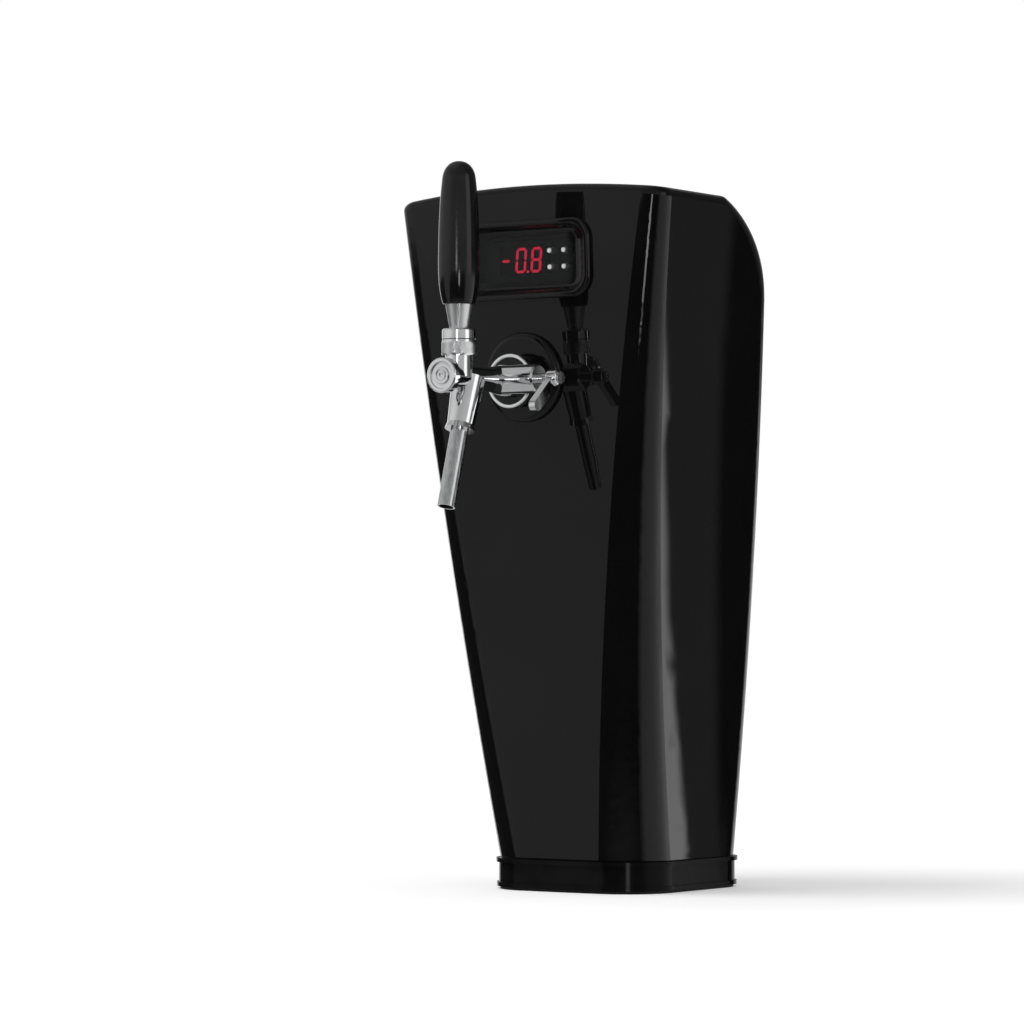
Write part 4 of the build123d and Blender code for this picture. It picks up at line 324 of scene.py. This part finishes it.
def make_finish(name, dark, light, rough, grain, bump, metal=0.0, specular=0.5, stretch=(1, 1, 1)):
    """One finish: noise of the given grain (per metre) mixes two tones and two roughness values.

    A second, finer noise drives a bump of the given height in metres. Stretch scales the noise
    along each axis, so a small number draws it out into lines along that axis.
    """
    material = bpy.data.materials.get(name) or bpy.data.materials.new(name)
    material.use_nodes = True
    tree = material.node_tree
    tree.nodes.clear()
    shader = tree.nodes.new("ShaderNodeBsdfPrincipled")
    output = tree.nodes.new("ShaderNodeOutputMaterial")
    tree.links.new(shader.outputs[0], output.inputs["Surface"])
    shader.inputs["Metallic"].default_value = metal
    shader.inputs["Specular IOR Level"].default_value = specular
    place = tree.nodes.new("ShaderNodeTexCoord")
    spread = tree.nodes.new("ShaderNodeMapping")
    spread.inputs["Scale"].default_value = stretch
    tree.links.new(place.outputs["Object"], spread.inputs["Vector"])
    cloud = tree.nodes.new("ShaderNodeTexNoise")
    cloud.inputs["Scale"].default_value = grain
    cloud.inputs["Detail"].default_value = CLOUD_DETAIL
    tree.links.new(spread.outputs[0], cloud.inputs["Vector"])
    tone = tree.nodes.new("ShaderNodeValToRGB")
    for stop, share, colour in zip(tone.color_ramp.elements, TONE_SHARE, (dark, light)):
        stop.position = share
        stop.color = (*colour, 1)
    tree.links.new(cloud.outputs["Fac"], tone.inputs["Fac"])
    tree.links.new(tone.outputs["Color"], shader.inputs["Base Color"])
    wear = add_node(tree, "ShaderNodeMapRange", cloud.outputs["Fac"], *ROUGH_SHARE, *rough)
    tree.links.new(wear, shader.inputs["Roughness"])
    fine = tree.nodes.new("ShaderNodeTexNoise")
    fine.inputs["Scale"].default_value = BUMP_FINENESS * grain
    tree.links.new(spread.outputs[0], fine.inputs["Vector"])
    relief = tree.nodes.new("ShaderNodeBump")
    relief.inputs["Distance"].default_value = bump
    tree.links.new(fine.outputs["Fac"], relief.inputs["Height"])
    tree.links.new(relief.outputs[0], shader.inputs["Normal"])
    return material


print("finish helper ready")

# %% Finishes of the mouldings, metals and small pieces
# Dark and light tone, lowest and highest roughness, grain for each metre, bump in metres, and whatever else
# is set
FINISH_TABLE = {
    "tower_black": (
        (0.0035, 0.0035, 0.0038), (0.0045, 0.0045, 0.0048), (0.006, 0.014), 14, 1e-7, {"specular": 0.26},
    ),
    "plinth_black": (
        (0.004, 0.004, 0.0042), (0.007, 0.007, 0.0072), (0.09, 0.16), 40, 6e-6, {"specular": 0.06},
    ),
    "boss_black": (
        (0.0035, 0.0035, 0.0038), (0.005, 0.005, 0.0053), (0.06, 0.1), 40, 3e-6, {"specular": 0.26},
    ),
    "bezel_black": (
        (0.0035, 0.0035, 0.0038), (0.0055, 0.0055, 0.006), (0.07, 0.13), 60, 4e-6, {"specular": 0.3},
    ),
    "handle_black": (
        (0.005, 0.005, 0.0052), (0.009, 0.009, 0.0095), (0.08, 0.14), 60, 4e-6, {"specular": 0.33},
    ),
    "tap_chrome": ((0.76, 0.77, 0.78), (0.84, 0.845, 0.85), (0.05, 0.1), 90, 4e-6, {"metal": 1.0}),
    "spout_steel": (
        (0.5, 0.51, 0.515), (0.66, 0.67, 0.675), (0.16, 0.28), 500, 1e-6,
        {"metal": 1.0, "stretch": (1, 1, 0.04)},
    ),
    "plate_steel": ((0.42, 0.42, 0.43), (0.56, 0.56, 0.57), (0.3, 0.42), 90, 8e-6, {"metal": 1.0}),
    "screw_zinc": ((0.45, 0.45, 0.46), (0.6, 0.6, 0.61), (0.25, 0.35), 300, 6e-6, {"metal": 1.0}),
    "fitting_brass": ((0.6, 0.43, 0.18), (0.74, 0.56, 0.26), (0.2, 0.3), 120, 5e-6, {"metal": 1.0}),
    "seal_rubber": ((0.012, 0.012, 0.012), (0.022, 0.022, 0.022), (0.6, 0.8), 200, 2e-5, {"specular": 0.3}),
    "foam_grey": ((0.04, 0.04, 0.043), (0.08, 0.08, 0.085), (0.85, 0.95), 600, 2e-4, {"specular": 0.2}),
    "hose_pale": ((0.68, 0.7, 0.71), (0.78, 0.8, 0.81), (0.25, 0.35), 40, 5e-6, {}),
    "plug_white": ((0.74, 0.74, 0.72), (0.82, 0.82, 0.8), (0.35, 0.45), 90, 8e-6, {}),
    "case_black": ((0.02, 0.02, 0.022), (0.035, 0.035, 0.037), (0.45, 0.6), 400, 3e-5, {}),
    "module_grey": ((0.012, 0.012, 0.013), (0.018, 0.018, 0.019), (0.4, 0.5), 90, 8e-6, {}),
    "board_green": ((0.02, 0.12, 0.05), (0.03, 0.17, 0.075), (0.3, 0.45), 200, 2e-5, {}),
    "terminal_green": ((0.04, 0.26, 0.1), (0.055, 0.32, 0.13), (0.35, 0.5), 120, 1e-5, {}),
    "cable_grey": ((0.1, 0.1, 0.105), (0.14, 0.14, 0.145), (0.45, 0.6), 150, 1e-5, {}),
    "key_white": ((0.78, 0.78, 0.76), (0.86, 0.86, 0.84), (0.25, 0.35), 300, 5e-6, {}),
    "window_smoke": (
        (0.006, 0.006, 0.0065), (0.009, 0.009, 0.0095), (0.06, 0.1), 60, 3e-6, {"specular": 0.3},
    ),
    "led_red": ((0.7, 0.01, 0.03), (0.85, 0.02, 0.05), (0.3, 0.4), 300, 5e-6, {}),
    "ferrule_satin": (
        (0.7, 0.71, 0.72), (0.8, 0.805, 0.81), (0.36, 0.44), 300, 3e-6,
        {"metal": 1.0, "stretch": (1, 1, 0.05)},
    ),
}
WINDOW_COVER = 0.55
LED_GLOW = (1.0, 0.03, 0.09, 1)
LED_STRENGTH = 2.0
FINISHES = {name: make_finish(name, *row[:-1], **row[-1]) for name, row in FINISH_TABLE.items()}
window_shader = FINISHES["window_smoke"].node_tree.nodes["Principled BSDF"]
window_shader.inputs["Alpha"].default_value = WINDOW_COVER
led_shader = FINISHES["led_red"].node_tree.nodes["Principled BSDF"]
led_shader.inputs["Emission Color"].default_value = LED_GLOW
led_shader.inputs["Emission Strength"].default_value = LED_STRENGTH
for name, node in nodes.items():
    node.data.materials.clear()
    node.data.materials.append(FINISHES[slot_of[name]])
nodes["handle_ferrule"].data.materials[0] = FINISHES["ferrule_satin"]
print("finishes:", len(FINISHES))

# %% [markdown]
# ## Surfaces from arrays
#
# A turned or moulded piece is a grid of points: rings one way, points round each ring the other way. It
# could be drawn with Blender's own tools, but as a formula every size stays readable, and a fine pattern
# costs one line. The grid is worked out as a whole array, and the mesh gets its quads from the same counts.

# %% Grid helpers
FOLD_ANGLE = radians(38)
JOIN_DISTANCE = 1e-7


def ring_quads(rings, points, closed):
    """Quads between neighbouring rings; where closed, the last ring is joined to the first."""
    ring = np.arange(rings if closed else rings - 1)[:, None]
    point = np.arange(points)[None, :]
    this, beyond = ring * points, (ring + 1) % rings * points
    beside = (point + 1) % points
    return np.stack([this + point, this + beside, beyond + beside, beyond + point], axis=-1).reshape(-1, 4)


def make_piece(name, grid, closed, body, slot, *replaced):
    """Puts a grid of rings (millimetres) into a mesh, merges its poles and hangs it on a body."""
    mesh = bpy.data.meshes.new(name)
    quads = ring_quads(grid.shape[0], grid.shape[1], closed)
    mesh.from_pydata((grid.reshape(-1, 3) * MM).tolist(), [], quads.tolist())
    shape = bmesh.new()
    shape.from_mesh(mesh)
    bmesh.ops.remove_doubles(shape, verts=shape.verts, dist=JOIN_DISTANCE)
    bmesh.ops.recalc_face_normals(shape, faces=shape.faces)
    shape.to_mesh(mesh)
    shape.free()
    mesh.shade_smooth()
    mesh.set_sharp_from_angle(angle=FOLD_ANGLE)
    mesh.materials.append(FINISHES[slot])
    piece = bpy.data.objects.new(name, mesh)
    scene.collection.objects.link(piece)
    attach(piece, body)
    if replaced:
        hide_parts(*replaced)
    print(name, len(mesh.polygons), "faces on", body)


def turned(profile, start, axis, side, turns):
    """A profile of (radius, distance) turned about an axis.

    Point = start + axis * distance + radius * (side * cos of the turn + third direction * sin of it).
    """
    radius, distance = np.array(profile, float).T[:, :, None, None]
    angle = np.linspace(0, 2 * pi, turns, endpoint=False)[None, :, None]
    axis, side = np.array(axis, float), np.array(side, float)
    across = side * np.cos(angle) + np.cross(axis, side) * np.sin(angle)
    return np.array(start, float) + axis * distance + radius * across


print("grid helpers ready")

# %% [markdown]
# ## Front cap of the tap
#
# The cap that closes the barrel is turned: a round rim, a sunken ring and a small stepped button with a
# dimple. It could be cut from a cylinder with bevels, but a lathe would make it from one profile, and so
# does this cell.

# %% Front cap
TAP_FRONT = -220.64
TAP_HEIGHT = 363.0
CAP_TURNS = 96
CAP_PROFILE = [
    (0, -1.0), (0.9, -1.0), (1.15, -0.8), (1.3, -0.25), (1.6, -0.1), (3.0, -0.1), (3.25, -0.3),
    (3.35, -0.75), (3.9, -0.75), (4.0, -0.4), (4.3, -0.25), (5.6, -0.25), (5.85, -0.5), (5.95, -1.45),
    (6.4, -1.6), (8.6, -1.5), (9.1, -1.35), (9.25, -0.35), (9.5, -0.05), (9.9, 0), (11.2, 0),
    (11.8, -0.15), (12.2, -0.55), (12.3, -1.1), (12.3, -6.2), (12.0, -6.5), (10.6, -6.5), (10.6, -3.95),
    (0, -3.95),
]
cap_grid = turned(CAP_PROFILE, (0, TAP_FRONT, TAP_HEIGHT), (0, -1, 0), (1, 0, 0), CAP_TURNS)
make_piece("turned_cap", cap_grid, False, "tower", "tap_chrome", "front_cap")

# %% [markdown]
# ## Knurled band on the lower collar
#
# The lower collar is a nut that is done up by hand, and its grip is a fine diamond knurl. A bump would
# leave the mesh smooth, so the ridges are real: two families of triangle waves wind round the collar
# in opposite directions, and their mean is the height of the knurl.

# %% Knurled band
LEVER_Y = -199.14
PIVOT_HEIGHT = 381.0
BAND_INNER, BAND_OUTER = 11.74, 11.86
BAND_LOW, BAND_HIGH = PIVOT_HEIGHT - 3.2, PIVOT_HEIGHT + 6.3
KNURL_HEIGHT = 0.3
KNURL_COUNT = 56
KNURL_ROWS = 7.5
POINTS_FOR_RIDGE = 6
BAND_RINGS = 49
END_SLOPE = 8


def triangle_wave(phase):
    """Rises from nought to one and falls back once in each whole phase."""
    return 1 - np.abs(2 * (phase % 1) - 1)


band_turn = np.linspace(0, 1, POINTS_FOR_RIDGE * KNURL_COUNT, endpoint=False)[None, :]
band_rise = np.linspace(0, 1, BAND_RINGS)[:, None]
winding = KNURL_COUNT * band_turn
climbing = KNURL_ROWS * band_rise
knurl = (triangle_wave(winding + climbing) + triangle_wave(winding - climbing)) / 2
ends = np.clip(END_SLOPE * np.minimum(band_rise, 1 - band_rise), 0, 1)
band_radius = BAND_OUTER + KNURL_HEIGHT * knurl * ends
band_height = BAND_LOW + (BAND_HIGH - BAND_LOW) * band_rise + 0 * band_turn
inner_radius = np.full((2, band_turn.shape[1]), BAND_INNER)
band_radius = np.concatenate([inner_radius[:1], band_radius, inner_radius[1:]])
band_height = np.concatenate([band_height[:1], band_height, band_height[-1:]])
band_angle = 2 * pi * band_turn
band_grid = np.stack(
    [band_radius * np.cos(band_angle), LEVER_Y + band_radius * np.sin(band_angle), band_height], axis=-1
)
make_piece("knurled_band", band_grid, True, "tower", "tap_chrome")

# %% [markdown]
# ## Bezel of the thermostat
#
# The bezel is a moulded frame with a rounded lip and hollow, curved walls that run down to the window. A
# box with bevels would give it flat walls and one radius, so it is a stack of rounded rectangles instead:
# each row names half the width, half the height, the corner radius and the level over the panel plane,
# and the surface runs from one to the next and closes behind the window.

# %% Bezel
PANEL_PLACE = np.array([0, -122.57, 449.5])
PANEL_LEAN = -0.0429
BEZEL_ROWS = np.array([
    (58.5, 28.0, 15.0, -2.8), (58.5, 28.0, 15.0, 0.5), (58.2, 27.7, 14.7, 1.3), (57.6, 27.1, 14.1, 1.8),
    (56.8, 26.3, 13.3, 2.0), (54.6, 25.1, 13.2, 2.0), (53.8, 24.5, 13.0, 1.8), (53.1, 24.0, 12.8, 1.2),
    (52.5, 23.5, 12.4, 0.2), (51.2, 22.5, 11.4, -1.4), (49.2, 21.2, 9.8, -2.9), (46.6, 19.9, 7.8, -4.1),
    (44.4, 19.0, 6.2, -4.7), (43.2, 18.6, 5.6, -4.85), (43.2, 18.6, 5.6, -4.95), (49.2, 19.9, 5.3, -4.95),
    (49.2, 19.9, 5.3, -16.0), (55.4, 24.9, 11.9, -16.0), (55.4, 24.9, 11.9, -2.8),
])
CORNER_POINTS = 17


def rounded_rings(rows):
    """Rounded rectangles: in each quarter, the corner's centre plus its radius times cosine and sine."""
    half_wide, half_high, corner, level = rows.T[:, :, None]
    quarter = np.repeat(np.arange(4), CORNER_POINTS)[None, :]
    angle = (quarter + np.tile(np.linspace(0, 1, CORNER_POINTS), 4)) * pi / 2
    to_right = np.where((quarter == 0) | (quarter == 3), 1, -1)
    to_top = np.where(quarter < 2, 1, -1)
    across = to_right * (half_wide - corner) + corner * np.cos(angle)
    upward = to_top * (half_high - corner) + corner * np.sin(angle)
    return across, upward, level + 0 * angle


def on_panel(across, upward, level):
    """Points of the panel plane, which leans with the front, in the tower's frame."""
    outward = np.array([0, -1, PANEL_LEAN]) / np.hypot(1, PANEL_LEAN)
    up = np.array([0, PANEL_LEAN, 1]) / np.hypot(1, PANEL_LEAN)
    sideways = np.array([1.0, 0, 0])
    return PANEL_PLACE + across[..., None] * sideways + upward[..., None] * up + level[..., None] * outward


bezel_grid = on_panel(*rounded_rings(BEZEL_ROWS))
make_piece("moulded_bezel", bezel_grid, True, "tower", "bezel_black", "display_bezel")
